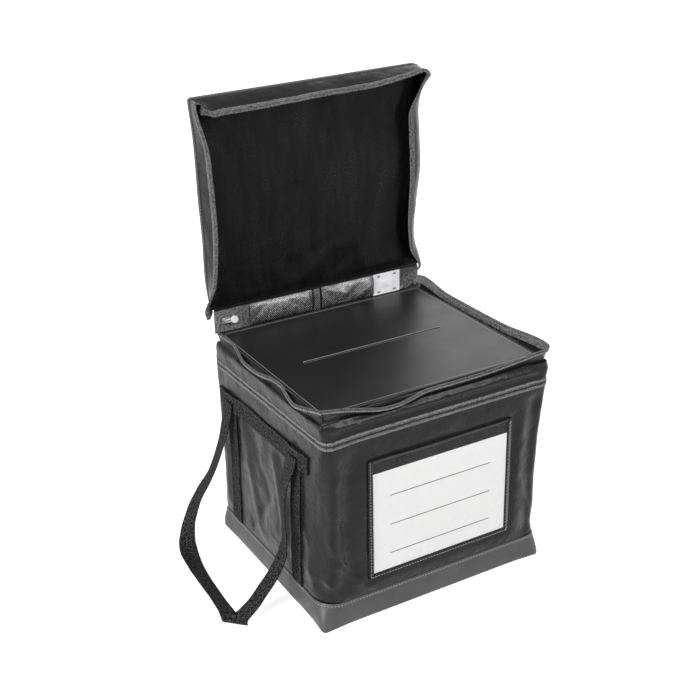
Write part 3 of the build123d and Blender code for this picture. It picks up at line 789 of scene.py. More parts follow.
def zip_band(name, path, rows, teeth_z, teeth_offset, move, body, node):
    tape = band(name + "_tape", path, rows, move, TAPE, body, closed=False)
    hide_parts(node)
    beads(name + "_teeth", tooth_rows(path_line(path, teeth_offset, teeth_z, move), (0, 0, 1)), COIL, body)


def tape_section(low, high):
    rows = [(0.45, low), (0.72, low + 0.3), (0.8, (low + high) / 2), (0.78, high - 0.3), (0.5, high)]
    return rows + [(0.12, z) for _, z in reversed(rows)]


RIM_ROLL = (
    (0.3, 302.6), (0.8, 303.0), (1.0, 304.8), (1.2, 306.6), (0.8, 307.8), (0.0, 308.2), (-1.1, 308.1),
    (-1.8, 307.2), (-2.1, 305.6), (-2.6, 303.8), (-3.4, 301.8), (-4.2, 300.0),
)
rim_path = [place for place in ring_path if place[4] <= REAR_RIGHT + 10]

low_rows, high_rows = tape_section(SEAM_Z - 5.8, SEAM_Z - 1), tape_section(SEAM_Z + 1, SEAM_Z + 5.8)
zip_band("opening_zip_low", zip_path, low_rows, SEAM_Z - 0.7, 0.7, wall_move, "bag", "opening_zip_lower")
zip_band("opening_zip_high", zip_path, high_rows, SEAM_Z + 0.7, 0.7, rim_move, "top", "opening_zip_upper")
zip_band("rim_zip", rim_path, RIM_ROLL, RIM_Z + 0.2, 1.3, rim_move, "top", "rim_zip")
for name, path, offset, z, move, body in (
    ("seam_stitches_low", zip_path, 0.85, SEAM_Z - 4.2, wall_move, "bag"),
    ("seam_stitches_high", zip_path, 0.85, SEAM_Z + 4.2, rim_move, "top"),
    ("rim_stitches", rim_path, 0.95, RIM_Z - 2.8, rim_move, "top"),
    ("rim_inner_stitches", rim_path, -2.55, RIM_Z - 2.9, rim_move, "top"),
):
    beads(name, stitch_rows(path_line(path, offset, z, move), **FINE), THREAD, body, "zip_tape")


# Collar, gutter and deck. The collar folds in over its shoulder, and the rim stands up behind the crease.

collar_rows = [(0.0, 268.2), (0.05, 270.5), (0.15, 273.0)] + [(0.2, z) for z in steps(276, 290, 2)]
collar_back = [(offset - CLOTH, z) for offset, z in collar_rows]
collar_rows += [(0.3, 291.5), (0.4, 292.8), (0.3, 294.0), (-0.3, 294.9), (-1.2, 295.0)]
collar_rows += [(-2.0, 294.3), (-2.6, 293.5)]
collar_back += [(-1.0, 290.9), (-1.4, 291.6), (-1.9, 292.0), (-2.5, 292.3), (-3.0, 292.5)]
collar_back += [(-3.4, 292.7), (-3.9, 292.9)]
rim_rows = [(-3.6, 294.3), (-3.6, 296.3), (-3.0, 298.6), (-1.9, 300.7), (-1.0, 302.5), (-0.4, 304.5)]
rim_rows += [(0.0, 306.8)]
collar_rows += rim_rows
collar_back += [(offset - CLOTH, z) for offset, z in rim_rows]
collar = band("collar", ring_path, collar_rows + collar_back[::-1], rim_move, COATED, "top")
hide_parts("collar_front", "collar_left", "collar_right", "collar_back")

gutter_rows = [(-1.8, 302.6), (-2.8, 301.0), (-4.2, 300.0), (-5.6, 300.4), (-6.7, 302.0)]
gutter_rows += [(-7.8, 303.2), (-12, 303.5)]
gutter_section = gutter_rows + [(offset, z - 0.9) for offset, z in reversed(gutter_rows)]
gutter = band("gutter_cloth", ring_path, gutter_section, gutter_move, COATED, "top", "lining_cloth")
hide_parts("rim_gutter")

EDGING_RADIUS, EDGING_Z = 0.95, RIM_Z - 0.3
edging_section = [
    (EDGING_RADIUS * math.cos(a), EDGING_Z + EDGING_RADIUS * math.sin(a))
    for a in np.linspace(-2.6, 3.4, 12, endpoint=False)
]
edging_path = outline(DECK_X + 0.6, DECK_Y + 0.6, 7.4)
edging = band("deck_edging", edging_path, edging_section, straight, BINDING, "top")
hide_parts("panel_edging")
deck_line = [((x, y, RIM_Z + 0.1), (0, 0, 1)) for x, y, *_ in outline(DECK_X - 3.6, DECK_Y - 3.6, 6.0)]
beads("deck_stitches", stitch_rows(deck_line + deck_line[:1], length=2.8, gap=0.8, height=0.8), THREAD, "top")

# The slot's liner: the middles of its two round ends are at SLOT_END to the left and right, and at SLOT_Y
SLOT_END, SLOT_Y, SLOT_RADIUS = 105.6, 1, 2.4
slot_loops = []
for way in (1, -1):
    for a in np.linspace(-math.pi / 2, math.pi / 2, 9):
        x, y = way * (SLOT_END + SLOT_RADIUS * math.cos(a)), SLOT_Y + way * SLOT_RADIUS * math.sin(a)
        away = Vector((x - max(-SLOT_END, min(SLOT_END, x)), y - SLOT_Y, 0)).normalized()
        rows = ((-0.35, -0.8), (-0.35, -0.3), (-0.35, 0.12), (0.3, 0.16), (0.3, 0.04), (0, -0.8))
        slot_loops.append([(x + away.x * out, y + away.y * out, RIM_Z + up) for out, up in rows])
tube("slot_liner", slot_loops, SLOT_EDGE, "top", closed=True)


# Hinge band and what is sewn to it


def band_place(x, z):
    y = BAND_OUT - 0.05 + 0.5 * grain(x, 0, z, 40, 6.1) * smooth(RIM_Z, RIM_Z + 9, z)
    return (x, y - 1.1, z), (x, y, z)


band_xs, band_zs = steps(0.2 - BAND_X, BAND_X - 0.2, 6), steps(RIM_Z - 0.6, BAND_TOP + 0.2, 3)
hinge_band = sheet("hinge_band_cloth", band_xs, band_zs, band_place, COATED, "top")
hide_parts("hinge_band")


def tape_piece(name, node, thick, paint, slot=None, ends=None, wavy=0.5, sag=0.0):
    """A tape or tab sewn flat on the band's inner face, its edges pressed down."""
    left, right = ends or span(node)
    edge = 0.35

    def place(x, z):
        side = window(x, left, left + 1.5, right - 1.5, right)
        swell = wavy * grain(x, 3, z, 14, 8.8) + sag * math.sin((z - RIM_Z) / 32 * math.pi)
        y = BAND_IN - 0.1 - edge - (thick - edge) * (0.35 + 0.65 * side) - swell * side
        return (x, y, z), (x, BAND_IN - 0.05, z)

    xs, zs = steps(left, right, 1.5), steps(RIM_Z + 0.2, BAND_TOP - 0.2, 2)
    piece = sheet(name, xs, zs, place, paint, "top", slot)
    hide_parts(node)


# This end tape takes the paler copy of the zip tape, whose extra lightness is painted light
tape_piece("left_end_tape", "zip_end_tape", 0.6, LIT_END_TAPE, wavy=0.15)
tape_piece("end_tab_cloth", "end_tab", 1.8, TAPE, sag=0.8)
tape_piece("centre_tab_cloth", "centre_tab", 3.0, SHINY, ends=(-11.6, -1.2), wavy=0.8, sag=1.4)
tape_piece("right_end_tape_cloth", "right_end_tape", 0.7, TAPE, "coated_cloth", wavy=0.3)


def puffed(name, node, crests):
    """A puffed tube of glossy cloth, pinched at its ends and rumpled along its run."""
    left, right = span(node)

    def place(x, v):
        ends = window(x, left, left + 9, right - 9, right)
        crumple = folds(x, v * 32, crests) + 0.9 * grain(x, 0, v * 32, 11, 3.7)
        puff = 0.9 + (6.0 + 1.3 * crumple) * math.sin(math.pi * v) ** 0.75 * (0.35 + 0.65 * ends)
        z = RIM_Z + 0.3 + 31.8 * v
        return (x, min(BAND_IN - 0.3 - puff, BAND_IN - 0.6), z), (x, BAND_IN - 0.2, z)

    piece = sheet(name, steps(left, right, 1.6), steps(0.0, 1.0, 1 / 18), place, SHINY, "top")
    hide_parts(node)


LEFT_CRESTS = (
    (-112, 8, -92, 26, 4, -1.6), (-80, 4, -60, 20, 5, 0.8), (-50, 24, -28, 10, 4, -1.2),
    (-30, 28, -16, 18, 3, 1.0),
)
RIGHT_CRESTS = (
    (4, 26, 22, 8, 4, -1.6), (14, 28, 38, 18, 4, 1.2), (40, 8, 60, 24, 5, -1.4),
    (58, 6, 84, 22, 4, 1.2), (74, 4, 88, 14, 3, -1.2),
)
puffed("facing_left", "hinge_facing_left", LEFT_CRESTS)
puffed("facing_right", "hinge_facing_right", RIGHT_CRESTS)

tacks = []
for x, z in ((-161.5, 311), (-118.2, 311), (-118.2, 335), (-6.6, 311), (-6.6, 335), (136.5, 311), (162, 311)):
    y = BAND_IN - (1.8 if x > -130 else 1.1)
    tacks += [((x + (k - 2) * 0.9, y, z), (0.25, 0, 1), (0, -1, 0), 6.0, 0.7, 0.8) for k in range(5)]
beads("bar_tacks", tacks, THREAD, "top")


# Lid, in its own directions: across x, along s from the hinge, and deep d from its outer face to its mouth.
# EDGE tables say how far its outline has moved, and LEAN tables how far its skirt leans in at the mouth.

LEFT_EDGE = ((0, 0), (21, -3), (50, -5), (104, -4), (159, -5), (240, -5), (291, -8))
RIGHT_EDGE = ((0, 0), (4, 0), (48, -11), (100, -6), (150, 1.5), (200, 1), (235, 0), (262, 4.5), (299, 5))
TOP_EDGE = ((-169, -8), (0, -6), (169, -3.5))
LEFT_LEAN = (
    (0, -17), (14, -17), (30, -9), (48, -1), (107, 5), (150, 7), (193, 6), (228, 4), (260, -1),
    (287, -5),
)
RIGHT_LEAN = (
    (0, 22), (5, 18), (13, 16), (33, 20), (55, 20), (98, 23), (156, 25), (214, 25), (243, 23),
    (272, 14), (287, 4),
)
TOP_LEAN = ((-157, 14), (-143, 19), (-90, 19), (-32, 17), (33, 16), (90, 15), (131, 9), (157, 4))
LID_CORNERS = (3.5, 16.0)  # left and right radius
LID_FOLDS = (
    (-20, 288, -34, 176, 13, 2.0), (30, 292, 44, 204, 13, 2.8), (8, 290, 2, 150, 9, -1.6),
    (-90, 280, -82, 140, 16, 1.8), (-60, 270, -58, 150, 10, -1.5), (-150, 288, -112, 236, 8, 2.6),
    (-158, 262, -128, 226, 7, -1.8), (76, 285, 84, 120, 12, 1.4), (104, 280, 96, 160, 12, -1.8),
    (140, 286, 126, 232, 8, 2.2), (-24, 132, -58, 80, 11, 1.1), (36, 60, -30, 18, 10, 2.4),
    (60, 40, 10, 14, 7, -1.4), (130, 90, 146, 26, 8, 1.8), (-140, 120, -136, 30, 9, 1.4),
    (-112, 90, -104, 26, 10, -1.4),
)


def lid_point(x, s, d):
    c, k = math.cos(LID_LEAN), math.sin(LID_LEAN)
    return (x, LID_HINGE_Y + s * k - d * c, LID_HINGE_Z + s * c + d * k)


def lid_way(x, s, d):
    """A direction given across, along and deep."""
    return Vector(lid_point(x, s, d)) - Vector(lid_point(0, 0, 0))


def lid_shift(x, s):
    """How far the soft lid's outline has moved, across and along."""
    right = portion(-HALF_X, HALF_X, x)
    across = (1 - right) * curve(LEFT_EDGE, s) + right * curve(RIGHT_EDGE, s)
    return across, curve(TOP_EDGE, x) * (s / LID_LENGTH) ** 2


def lid_outline():
    """Three sides of the lid from the hinge at the left: x, s, and the way outwards across and along."""
    left, right = LID_CORNERS
    places = [(-HALF_X, s, -1, 0) for s in steps(LID_START, LID_LENGTH - left, STEP)]
    arc = [(math.cos(a), math.sin(a)) for a in np.linspace(0, math.pi / 2, 9)[1:-1]]
    for c, k in arc:
        places.append((left - HALF_X - left * c, LID_LENGTH - left + left * k, -c, k))
    places += [(x, LID_LENGTH, 0, 1) for x in steps(left - HALF_X, HALF_X - right, STEP)]
    for c, k in reversed(arc):
        places.append((HALF_X - right + right * c, LID_LENGTH - right + right * k, c, k))
    return places + [(HALF_X, s, 1, 0) for s in reversed(steps(LID_START, LID_LENGTH - right, STEP))]


def skirt_point(x, s, nx, ns, offset, d):
    """A place on the lid's skirt, which leans in or out towards its mouth."""
    dx, ds = lid_shift(x, s)
    tilt = curve(LEFT_LEAN if x < 0 else RIGHT_LEAN, s) * nx * nx + curve(TOP_LEAN, x) * ns * ns
    share = (max(d - 1.5, 0.0) / (LID_DEPTH - 1.5)) ** 1.25
    shorter = math.sqrt(max(0.1, 1 - (tilt / LID_DEPTH) ** 2))
    sag = 0.9 * grain(x, s, d, 26, 1.9) * smooth(3, 14, d)
    pinch = 3.5 * bump(math.hypot(x + 150, s - 292), 0, 9) * smooth(6, 24, d)
    out = offset - tilt * share + sag - pinch
    return lid_point(x + dx + nx * out, s + ds + ns * out, d * (1 + (shorter - 1) * share))


def lid_band(name, rows, paint):
    loops = [[skirt_point(x, s, nx, ns, offset, d) for offset, d in rows] for x, s, nx, ns in lid_outline()]
    return tube(name, loops, paint, "lid")


skirt_rows = [(0.0, d) for d in [0.4, 2.5] + steps(5, 33.0, 2.0)]
lid_skirt = lid_band("lid_skirt_cloth", two_faced(skirt_rows, CLOTH), COATED)
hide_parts("lid_skirt")
tape_rows = [(0.25, 27.6), (1.0, 28.2), (1.2, 30.5), (1.6, 33.0), (1.2, 34.4), (0.2, 35.0)]
tape_back = [(-1.2, 35.0), (-2.4, 34.3), (-2.6, 32.5), (-2.2, 29.5), (-1.9, 27.6), (-1.3, 27.2)]
lid_zip = lid_band("lid_zip_tape", tape_rows + tape_back, TAPE)
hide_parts("lid_zip")
seam_rows = [(0.1, 6.6), (0.7, 6.2), (0.8, 3.5), (0.75, 0.6), (0.2, -0.9), (-2.5, -1.2)]
seam_back = [(-2.5, -0.65), (0.0, -0.4), (0.2, 0.6), (0.2, 3.5), (0.15, 6.2), (0.05, 6.6)]
seam_tape = lid_band("lid_seam_binding", seam_rows + seam_back, BINDING)
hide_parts("lid_seam_tape")


def skirt_line(offset, d, out=1.0):
    """A line along the skirt at one depth, with the way outwards, or inwards where out is -1."""
    line = []
    for x, s, nx, ns in lid_outline():
        line.append((skirt_point(x, s, nx, ns, offset, d), lid_way(nx * out, ns * out, 0)))
    return line


beads("lid_zip_teeth", tooth_rows(skirt_line(1.5, 34.2), lid_way(0, 0, 1)), COIL, "lid")
for name, line in (("zip", skirt_line(1.2, 29.4)), ("facing", skirt_line(-2.3, 29.2, -1.0))):
    beads(f"lid_{name}_stitches", stitch_rows(line, **FINE), THREAD, "lid", "zip_tape")
beads("lid_seam_stitches", stitch_rows(skirt_line(0.85, 4.6)), THREAD, "lid")


def lid_half_width(u, s, inset):
    """The lid's width left or right of its middle at a place along it, with its rounded far corners."""
    radius = max(LID_CORNERS[0 if u < 0 else 1] - inset, 0.5)
    over = s - (LID_LENGTH - inset - radius)
    if over <= 0:
        return HALF_X - inset
    return HALF_X - inset - radius + math.sqrt(max(0.0, radius**2 - over**2))


def lid_sheet(name, depths, paint, inset, start, step, last, near_end):
    """A sheet over the lid; depths(x, s) gives how deep its front and its back are.

    Its columns end on the lid's rounded outline, and closer rows stand for the last ones near its end.
    """

    def place(u, s):
        x = u * lid_half_width(u, s, inset)
        dx, ds = lid_shift(x, s)
        return [lid_point(x + dx, s + ds, d) for d in depths(x, s)]

    ss = steps(start, LID_LENGTH - inset, step)[:-last] + [LID_LENGTH - back for back in near_end]
    return sheet(name, steps(-1.0, 1.0, step / HALF_X), ss, place, paint, "lid")


def panel_depths(x, s):
    dent = 1.6 * grain(x, s, 0, 70, 4.9) + 0.5 * grain(x, s, 0, 22, 8.1)
    edge = min(smooth(0, 20, HALF_X - abs(x)), smooth(0, 20, LID_LENGTH - s), smooth(1, 24, s))
    d = -0.55 - dent * edge
    return d + 1.15, d


lid_panel = lid_sheet("lid_top_cloth", panel_depths, COATED, 0.15, LID_START, 6.0, 1, (3.5, 1.2, 0.3))
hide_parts("lid_panel")
LINING_INSET = 2.2


def lining_depths(x, s):
    from_side, from_end = HALF_X - LINING_INSET - abs(x), LID_LENGTH - LINING_INSET - s
    edge = min(smooth(0, 14, from_side), smooth(0, 14, from_end), smooth(3.9, 18, s))
    swell = folds(x, s, LID_FOLDS) + 0.8 * grain(x, s, 0, 30, 2.4) + 0.25 * grain(x, s, 0, 11, 6.6)
    roll = 7.0 * smooth(250, 297, s) * (1 + 0.5 * math.sin(x / 24) * smooth(-60, 20, x))
    d = 2.6 + (2.6 + 0.9 * swell + roll) * edge + 0.3 * grain(x, s, 0, 9, 1.1)
    return max(d, 1.9), 0.95


lid_lining = lid_sheet("lid_lining", lining_depths, GLOSSY, LINING_INSET, 4.0, 3.2, 2, (5, 3.2, 2.5))
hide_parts("lid_pad", "lid_board")


# Cloth over the two hinge lines


def fold_cloth(name, half, rows, node):
    """Cloth over a hinge line between two heights; it rides on no body."""
    loops = []
    for x in steps(-half, half, STEP):
        outer = [(x, y + 0.05 * grain(x, 0, z, 20, 1.7), z) for y, z in rows]
        loops.append(outer + [(px, py - 0.9, pz) for px, py, pz in reversed(outer)])
    piece = tube(name, loops, COATED, None)
    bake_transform(piece)
    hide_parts(node)


seam_fold_rows = [(BAND_OUT + 0.15, z) for z in steps(SEAM_Z - 10, SEAM_Z + 10, 1.2)]
lid_fold_rows = [(BAND_OUT + 0.2, z) for z in steps(333.0, 340.0, 1.0)]
for z in steps(341.0, 349.0, 1.0):
    lid_fold_rows.append((BAND_OUT + 0.2 + (z - LID_HINGE_Z) * math.tan(LID_LEAN), z))
fold_cloth("opening_fold_cloth", 157.0, seam_fold_rows, "opening_hinge_bead")
fold_cloth("lid_fold_cloth", 165.0, lid_fold_rows, "lid_hinge_bead")


# Label pocket


def pocket_back_place(x, z):
    return (x, FRONT - 1.6 - 0.025 * grain(x, 0, z, 30, 5.2), z), (x, FRONT + 0.1, z)


back_xs, back_zs = steps(POCKET_LEFT, POCKET_RIGHT, 10), steps(POCKET_LOW, POCKET_HIGH, 8)
pocket_back = sheet("pocket_backing", back_xs, back_zs, pocket_back_place, COATED, "bag")
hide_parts("pocket_back")


def film_place(x, z):
    high = smooth(CARD_HIGH, POCKET_HIGH, z)
    y = FRONT - 2.95 - 0.12 * grain(x, 0, z, 34, 7.4) - 0.5 * high * (1 + grain(x, 0, 0, 40, 2.0))
    return (x, y - 0.25, z), (x, y, z)


film_xs, film_zs = steps(CARD_LEFT - 0.3, CARD_RIGHT + 0.3, 6), steps(CARD_LOW - 0.3, POCKET_HIGH - 1, 6)
film = sheet("pocket_window", film_xs, film_zs, film_place, FILM, "bag")
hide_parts("window_film")


def frame_strip(name, x0, x1, z0, z1, along_x=False):
    """One sewn edge of the pocket: a folded strip over the spacer, its face a little crowned."""
    low, high = (z0, z1) if along_x else (x0, x1)

    def place(u, v):
        x, z = (u, v) if along_x else (v, u)
        rise = math.sin(math.pi * portion(low, high, v))
        y = FRONT - 3.35 - 0.55 * rise - 0.12 * grain(x, 0, z, 12, 3.3)
        return (x, y, z), (x, FRONT - 1.7, z)

    run = steps(x0, x1, 5) if along_x else steps(z0, z1, 5)
    return sheet(name, run, steps(low, high, (high - low) / 6), place, COATED, "bag")


left_strip = frame_strip("pocket_edge_left", POCKET_LEFT, CARD_LEFT + 1.6, POCKET_LOW, POCKET_HIGH)
frame_strip("pocket_edge_right", CARD_RIGHT - 1.6, POCKET_RIGHT, POCKET_LOW, POCKET_HIGH)
frame_strip("pocket_edge_low", CARD_LEFT + 1.8, CARD_RIGHT - 1.8, POCKET_LOW, CARD_LOW + 1.6, along_x=True)
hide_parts("pocket_frame")


def mouth_place(x, v):
    """The rolled hem of the pocket's mouth, which stands a little open in the middle."""
    sway = 1.6 * bump(x, -10, 60) + 1.0 * bump(x, 82, 22) + 0.4 * grain(x, 0, 0, 30, 8.4)
    y = FRONT - 3.4 - sway * 0.5 - 0.5 * math.sin(math.pi * v)
    z = POCKET_HIGH - 3.2 * (1 - v) - 0.6 * sway
    return (x, y, z), (x, y + 0.8, z)


mouth_xs = steps(POCKET_LEFT + 6.8, POCKET_RIGHT - 6.8, 4)
sheet("pocket_mouth_hem", mouth_xs, steps(0.0, 1.0, 0.2), mouth_place, BINDING, "bag")

FACE = (0, -1, 0)
left_seam = [((POCKET_LEFT + 2.4, FRONT - 4.0, z), FACE) for z in steps(POCKET_LOW + 1, POCKET_HIGH - 1, 6)]
low_seam = [((x, FRONT - 4.0, POCKET_LOW + 2.2), FACE) for x in steps(POCKET_LEFT + 3, POCKET_RIGHT - 3, 6)]
beads("pocket_stitches", stitch_rows(left_seam) + stitch_rows(low_seam), THREAD, "bag")
right_seam = [((POCKET_RIGHT - 3.0, FRONT - 4.5, z), FACE) for z in steps(POCKET_LOW + 3, POCKET_HIGH - 3, 6)]
whips = [(p, (0.8, 0, 1), out, 6.2, 1.5, 1.3) for p, _, out in walk(right_seam, 5.4)]
beads("pocket_whip_stitches", whips, THREAD, "bag")


# Webbing. ACROSS is its cross-section: places over its width, and shares of half its thickness there.

ACROSS = (
    (-12.5, 0.4), (-12.1, 0.8), (-10.8, 1.0), (-6.0, 0.94), (0.0, 1.0), (6.0, 0.94), (10.8, 1.0), (12.1, 0.8),
    (12.5, 0.4),
)
STRAP_EDGE = 11.0  # from the middle of the webbing to the stitches along it
SEWN_THICK, HANDLE_THICK = 2.1, 1.9
# How far out from the wall the strips, their stitches and the tacks on the bar lie
STRIP_OUT, STITCH_OUT, TACK_OUT = 1.35, 2.6, 4.95


def strap_loop(place):
    """A cross-section of webbing; place(across, share, face) is a point on its face, 1, or its back, -1."""
    face, back = ([tuple(place(a, t, side)) for a, t in ACROSS] for side in (1, -1))
    return face + back[::-1]


def ribbon(name, places, thickness, body, node=None):
    """Webbing through places, each a middle, the way of its width and the way of its face."""
    loops = []
    for centre, wide, out in places:
        loops.append(strap_loop(lambda a, t, side: centre + wide * a + out * (side * t * thickness / 2)))
    piece = tube(name, loops, WEBBING, body)
    if node:
        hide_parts(node)


def side_place(side, y, z, offset):
    """A place on a side wall, with the wall's own lean and swell."""
    s = HALF_Y - y if side < 0 else FRONT_RIGHT + HALF_Y + y
    dx, dy, _ = wall_move(side * HALF_X, y, side, 0, s, z, 0)
    return Vector((side * (HALF_X + offset) + dx, y + dy, z))


def follow(middles, wide):
    """Places for a ribbon whose face is square to its run and its width."""
    places = []
    for i, centre in enumerate(middles):
        run = middles[min(i + 1, len(middles) - 1)] - middles[max(i - 1, 0)]
        places.append((centre, wide, run.cross(wide).normalized()))
    return places


def bar_place(side, y, up=0.0, offset=0.0):
    """A place on the bar, which wanders a little and climbs over the two strips."""
    climb = 1.5 + 2.1 * max(1 - smooth(12, 26, abs(y - strip_y)) for strip_y, _ in STRIPS)
    return side_place(side, y, BAR_Z + up + 0.8 * math.sin(y / 30), climb + offset)


# The bar tack at each crossing of a strip and the bar: a box and the two lines of a cross in it
BOX_STITCH = ((-10, -10), (10, -10), (10, 10), (-10, 10), (-10, -10), (10, 10), (10, -10), (-10, 10))

for side, word in ((-1, "left"), (1, "right")):
    threads = []
    for y, end in STRIPS:
        wander = 1.5 if end == "front" else -1.0
        middles = []
        for z in steps(BOOT_Z + 0.2, BAR_Z + 12.2, 4):
            middles.append(side_place(side, y + wander * math.sin((z - BOOT_Z) / 60), z, STRIP_OUT))
        places = follow(middles, Vector((0, 1, 0)))
        ribbon(f"{word}_strip_{end}", places, SEWN_THICK, "bag", f"{word}_webbing_{end}")
        for edge in (-STRAP_EDGE, STRAP_EDGE):
            zs = steps(BOOT_Z + 3, BAR_Z - 15, 6)
            line = [(side_place(side, y + edge, z, STITCH_OUT), (side, 0, 0)) for z in zs]
            threads += stitch_rows(line, height=0.6)
        for (ya, za), (yb, zb) in zip(BOX_STITCH, BOX_STITCH[1:]):
            line = []
            for t in (0, 0.25, 0.5, 0.75, 1):
                place = side_place(side, y + ya + (yb - ya) * t, BAR_Z + za + (zb - za) * t, TACK_OUT)
                line.append((place, (side, 0, 0)))
            threads += stitch_rows(line, length=2.4, gap=0.9, height=0.6)
    middles = [bar_place(side, y) for y in steps(BAR_FRONT, BAR_REAR, 4)]
    places = follow(middles, Vector((0, 0, 1)))
    ribbon(f"{word}_bar", places, SEWN_THICK, "bag", f"{word}_webbing_bar")
    for edge in (-STRAP_EDGE, STRAP_EDGE):
        ys = steps(BAR_FRONT + 3.5, BAR_REAR - 3.5, 5)
        line = [(bar_place(side, y, edge, STITCH_OUT - STRIP_OUT), (side, 0, 0)) for y in ys]
        threads += stitch_rows(line, height=0.6)
    beads(f"{word}_webbing_stitches", threads, DARK_THREAD, "bag")


# Handle loops. Each row is three shares: outwards of the splay, along of half the spacing, and up of the
# bar's height. Then comes the way of the strap's width: outwards, along and up.

HANDLE_DOWN = (
    (0, 1, 1, 0, 1, 0),
    (0.05, 1.03, 0.86, -0.05, 1, 0),
    (0.15, 1.08, 0.69, -0.2, 0.98, 0),
    (0.31, 1.12, 0.52, -0.25, 0.97, 0),
    (0.5, 1.18, 0.385, -0.1, 0.99, 0),
    (0.65, 1.2, 0.25, 0.15, 0.98, 0),
    (0.765, 1.12, 0.13, 0.45, 0.89, 0.05),
    (0.85, 0.88, 0.062, 0.75, 0.62, 0.18),
    (0.905, 0.47, 0.05, 0.86, 0.3, 0.36),
    (0.935, 0.045, 0.05, 0.84, 0.22, 0.44),
    (0.95, -0.4, 0.046, 0.76, 0.18, 0.44),
    (0.95, -0.7, 0.034, 0.76, 0.22, 0.36),
    (0.945, -0.98, 0.016, 0.72, 0.69, 0.02),
)
HANDLE_UP = (
    (0.945, -0.98, 0.016, -0.72, -0.69, -0.02),
    (0.79, -0.98, 0.062, -0.08, -1, 0),
    (0.64, -0.97, 0.105, 0, -1, 0),
    (0.5, -0.96, 0.165, 0, -1, 0),
    (0.33, -0.98, 0.26, 0.02, -1, 0),
    (0.19, -0.99, 0.37, 0.1, -0.99, 0),
    (0.12, -0.96, 0.48, 0.28, -0.96, 0),
    (0.09, -0.9, 0.6, 0.38, -0.92, 0),
    (0.07, -0.86, 0.72, 0.36, -0.93, 0),
    (0.05, -0.88, 0.831, 0.2, -0.98, 0),
    (0.025, -0.96, 0.93, 0.05, -1, 0),
    (0, -1, 1, 0, -1, 0),
)
FOLD_X = 175.3  # where a handle turns over its bar
HALF_SPACING = (STRIPS[1][0] - STRIPS[0][0]) / 2
SPACING_MIDDLE = (STRIPS[1][0] + STRIPS[0][0]) / 2
LOWEST = 2.2  # the strap where it lies on the floor


def handle_places(side, splay, table):
    rows = []
    for out, along, up, wide_out, wide_along, wide_up in table:
        y, z = SPACING_MIDDLE + along * HALF_SPACING, max(up * BAR_Z, LOWEST)
        shift = Vector((*lean(side * HALF_X, y, BAR_Z), 0)) * (up if up > 0.3 else up * up / 0.3)
        wide = Vector((side * wide_out, wide_along, wide_up)).normalized()
        rows.append((Vector((side * (FOLD_X + out * splay), y, z)) + shift, wide))
    fine = []
    for i in range(len(rows) - 1):
        before, after = rows[max(i - 1, 0)], rows[min(i + 2, len(rows) - 1)]
        a, b = rows[i], rows[i + 1]
        for t in np.arange(8) / 8:
            point = hermite(float(t), a[0], b[0], (b[0] - before[0]) / 2, (after[0] - a[0]) / 2)
            fine.append((point, a[1].lerp(b[1], smooth(0, 1, t)).normalized()))
    fine.append(rows[-1])
    places = []
    for i, (point, wide) in enumerate(fine):
        run = (fine[min(i + 1, len(fine) - 1)][0] - fine[max(i - 1, 0)][0]).normalized()
        square = math.sqrt(max(0.25, 1 - wide.dot(run) ** 2))
        places.append((point, wide / square, run.cross(wide).normalized()))
    return places


def handle_fold(side, end):
    """Loops of the small roll in which the handle is turned over the bar, at its front or rear end."""
    y = SPACING_MIDDLE + end * HALF_SPACING
    shift = lean(side * HALF_X, y, BAR_Z)
    centre = Vector((side * FOLD_X + shift[0], y + shift[1], BAR_Z))
    loops = []
    for angle in np.linspace(0, 2 * math.pi, 16, endpoint=False):
        c, k = math.cos(angle), math.sin(angle)
        ways = {1: Vector((c * 1.9, 0, k * 2.6)), -1: Vector((c * 0.5, 0, k * 0.9))}
        loops.append(strap_loop(lambda a, t, face: centre + ways[face] * t + Vector((0, a, 0))))
    return loops


for side, word, splay in ((-1, "left", 92.0), (1, "right", 41.4)):
    body = f"{word}_handle"
    down, up = (handle_places(side, splay, table) for table in (HANDLE_DOWN, HANDLE_UP))
    ribbon(f"{word}_handle_rear", down, HANDLE_THICK, body, f"{word}_handle")
    ribbon(f"{word}_handle_front", up, HANDLE_THICK, body)
    for end, where in ((-1, "front"), (1, "rear")):
        tube(f"{word}_handle_fold_{where}", handle_fold(side, end), WEBBING, body, closed=True)


# Carried-over solids: their own materials, and edges that are rounded


def dress(names, paint, edge):
    for name in names:
        piece = nodes[name]
        if not piece.material_slots:
            piece.data.materials.append(None)
        for item in piece.material_slots:
            item.material = paint.material
        if edge:
            bevel = piece.modifiers.new("edge", "BEVEL")
            bevel.width = edge * MM
            bevel.segments = 3
            bevel.limit_method = "ANGLE"
            bevel.angle_limit = math.radians(40)


dress(("slot_panel",), DECK, 0.3)
dress(("base_panel",), LINING, 0.4)
dress(("label_card",), CARD, 0.0)
dress(("seal_plate", "seal_chamber", "lid_zip_pull"), PLASTIC, 0.3)
dress(("seal_clips",), SLOT_EDGE, 0.2)
dress(("lid_zip_slider", "opening_zip_slider", "opening_zip_pull"), METAL, 0.2)


# Floor, light and camera, in metres


def white_seen(tree):
    """1 for camera, glossy and transmission rays, which see white surroundings, and 0 for others."""
    rays = add_node(tree, "ShaderNodeLightPath").outputs
    seen = rays["Is Camera Ray"]
    for ray in ("Is Glossy Ray", "Is Transmission Ray"):
        seen = add_node(tree, "ShaderNodeMath", {0: seen, 1: rays[ray]}, operation="MAXIMUM").outputs[0]
    return seen


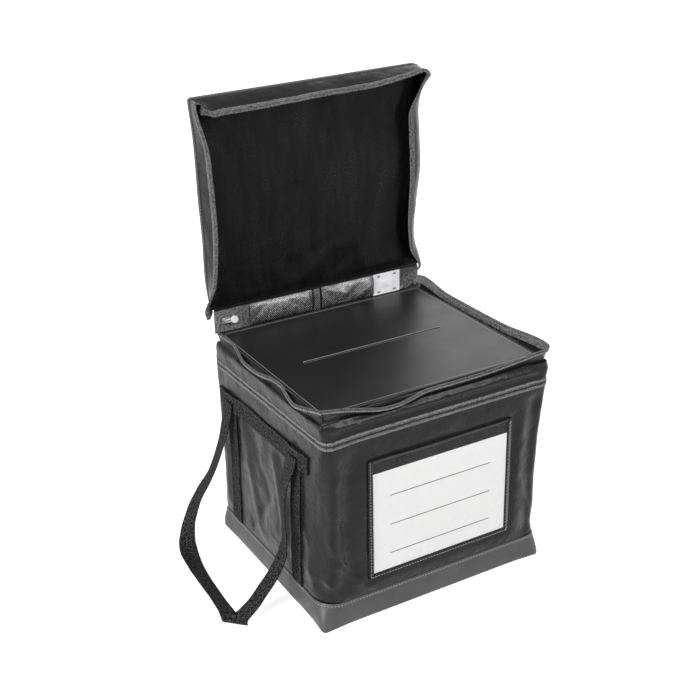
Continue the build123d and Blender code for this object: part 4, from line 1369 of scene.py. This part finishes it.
FLOOR_HALF = 20
floor_mesh = bpy.data.meshes.new("floor")
floor_corners = [(x * FLOOR_HALF, y * FLOOR_HALF, 0) for x, y in ((-1, -1), (1, -1), (1, 1), (-1, 1))]
floor_mesh.from_pydata(floor_corners, [], [(0, 1, 2, 3)])
floor = bpy.data.objects.new("floor", floor_mesh)
bpy.context.scene.collection.objects.link(floor)
floor_paint = Paint("floor", (0.62, 0.62, 0.62, 1), 0.85, Specular_IOR_Level=0.2)
floor_paint.shader.inputs["Emission Color"].default_value = (1, 1, 1, 1)
floor_paint.set("Emission Strength", floor_paint.times(white_seen(floor_paint.tree), 0.72))
floor_mesh.materials.append(floor_paint.material)

world = bpy.data.worlds.new("studio")
bpy.context.scene.world = world
world.use_nodes = True
tree = world.node_tree
background = tree.nodes["Background"]
strength = add_node(tree, "ShaderNodeMapRange", {0: white_seen(tree), 3: 0.5, 4: 1.0})
tree.links.new(strength.outputs[0], background.inputs["Strength"])
background.inputs["Color"].default_value = (1, 1, 1, 1)

LIT_PLACE = Vector((0, 0, 0.25))


def lamp(name, place, size, power):
    data = bpy.data.lights.new(name, "AREA")
    data.shape = "RECTANGLE"
    data.size, data.size_y = size
    data.energy = power
    item = bpy.data.objects.new(name, data)
    item.location = place
    item.rotation_euler = (LIT_PLACE - Vector(place)).to_track_quat("-Z", "Y").to_euler()
    bpy.context.scene.collection.objects.link(item)


lamp("key", (-2.0, -1.2, 2.3), (1.0, 1.0), 50)
lamp("front", (1.3, -2.2, 2.3), (0.9, 1.2), 52)
lamp("left", (-2.5, -0.5, 0.9), (0.4, 1.3), 40)
lamp("rear", (1.6, 2.5, 1.9), (2.4, 1.6), 16)

CAMERA_PLACE = (-0.773454, -1.277223, 0.985764)
SENSOR, LENS = 36.0, 62.953  # millimetres
yaw, pitch, roll = (math.radians(angle) for angle in (29.9228, -24.6911, -1.1271))

camera_data = bpy.data.cameras.new("camera")
camera = bpy.data.objects.new("camera", camera_data)
bpy.context.scene.collection.objects.link(camera)
bpy.context.scene.camera = camera
camera_data.sensor_width, camera_data.lens = SENSOR, LENS
camera_data.clip_start, camera_data.clip_end = 0.05, 60.0
look = Vector((math.sin(yaw) * math.cos(pitch), math.cos(yaw) * math.cos(pitch), math.sin(pitch)))
level_right = Vector((math.cos(yaw), -math.sin(yaw), 0))
level_up = level_right.cross(look)
right = level_right * math.cos(roll) + level_up * math.sin(roll)
up = level_up * math.cos(roll) - level_right * math.sin(roll)
pose = Matrix((right, up, -look)).transposed().to_4x4()
pose.translation = CAMERA_PLACE
camera.matrix_world = pose

bpy.context.scene.view_settings.view_transform = "Standard"
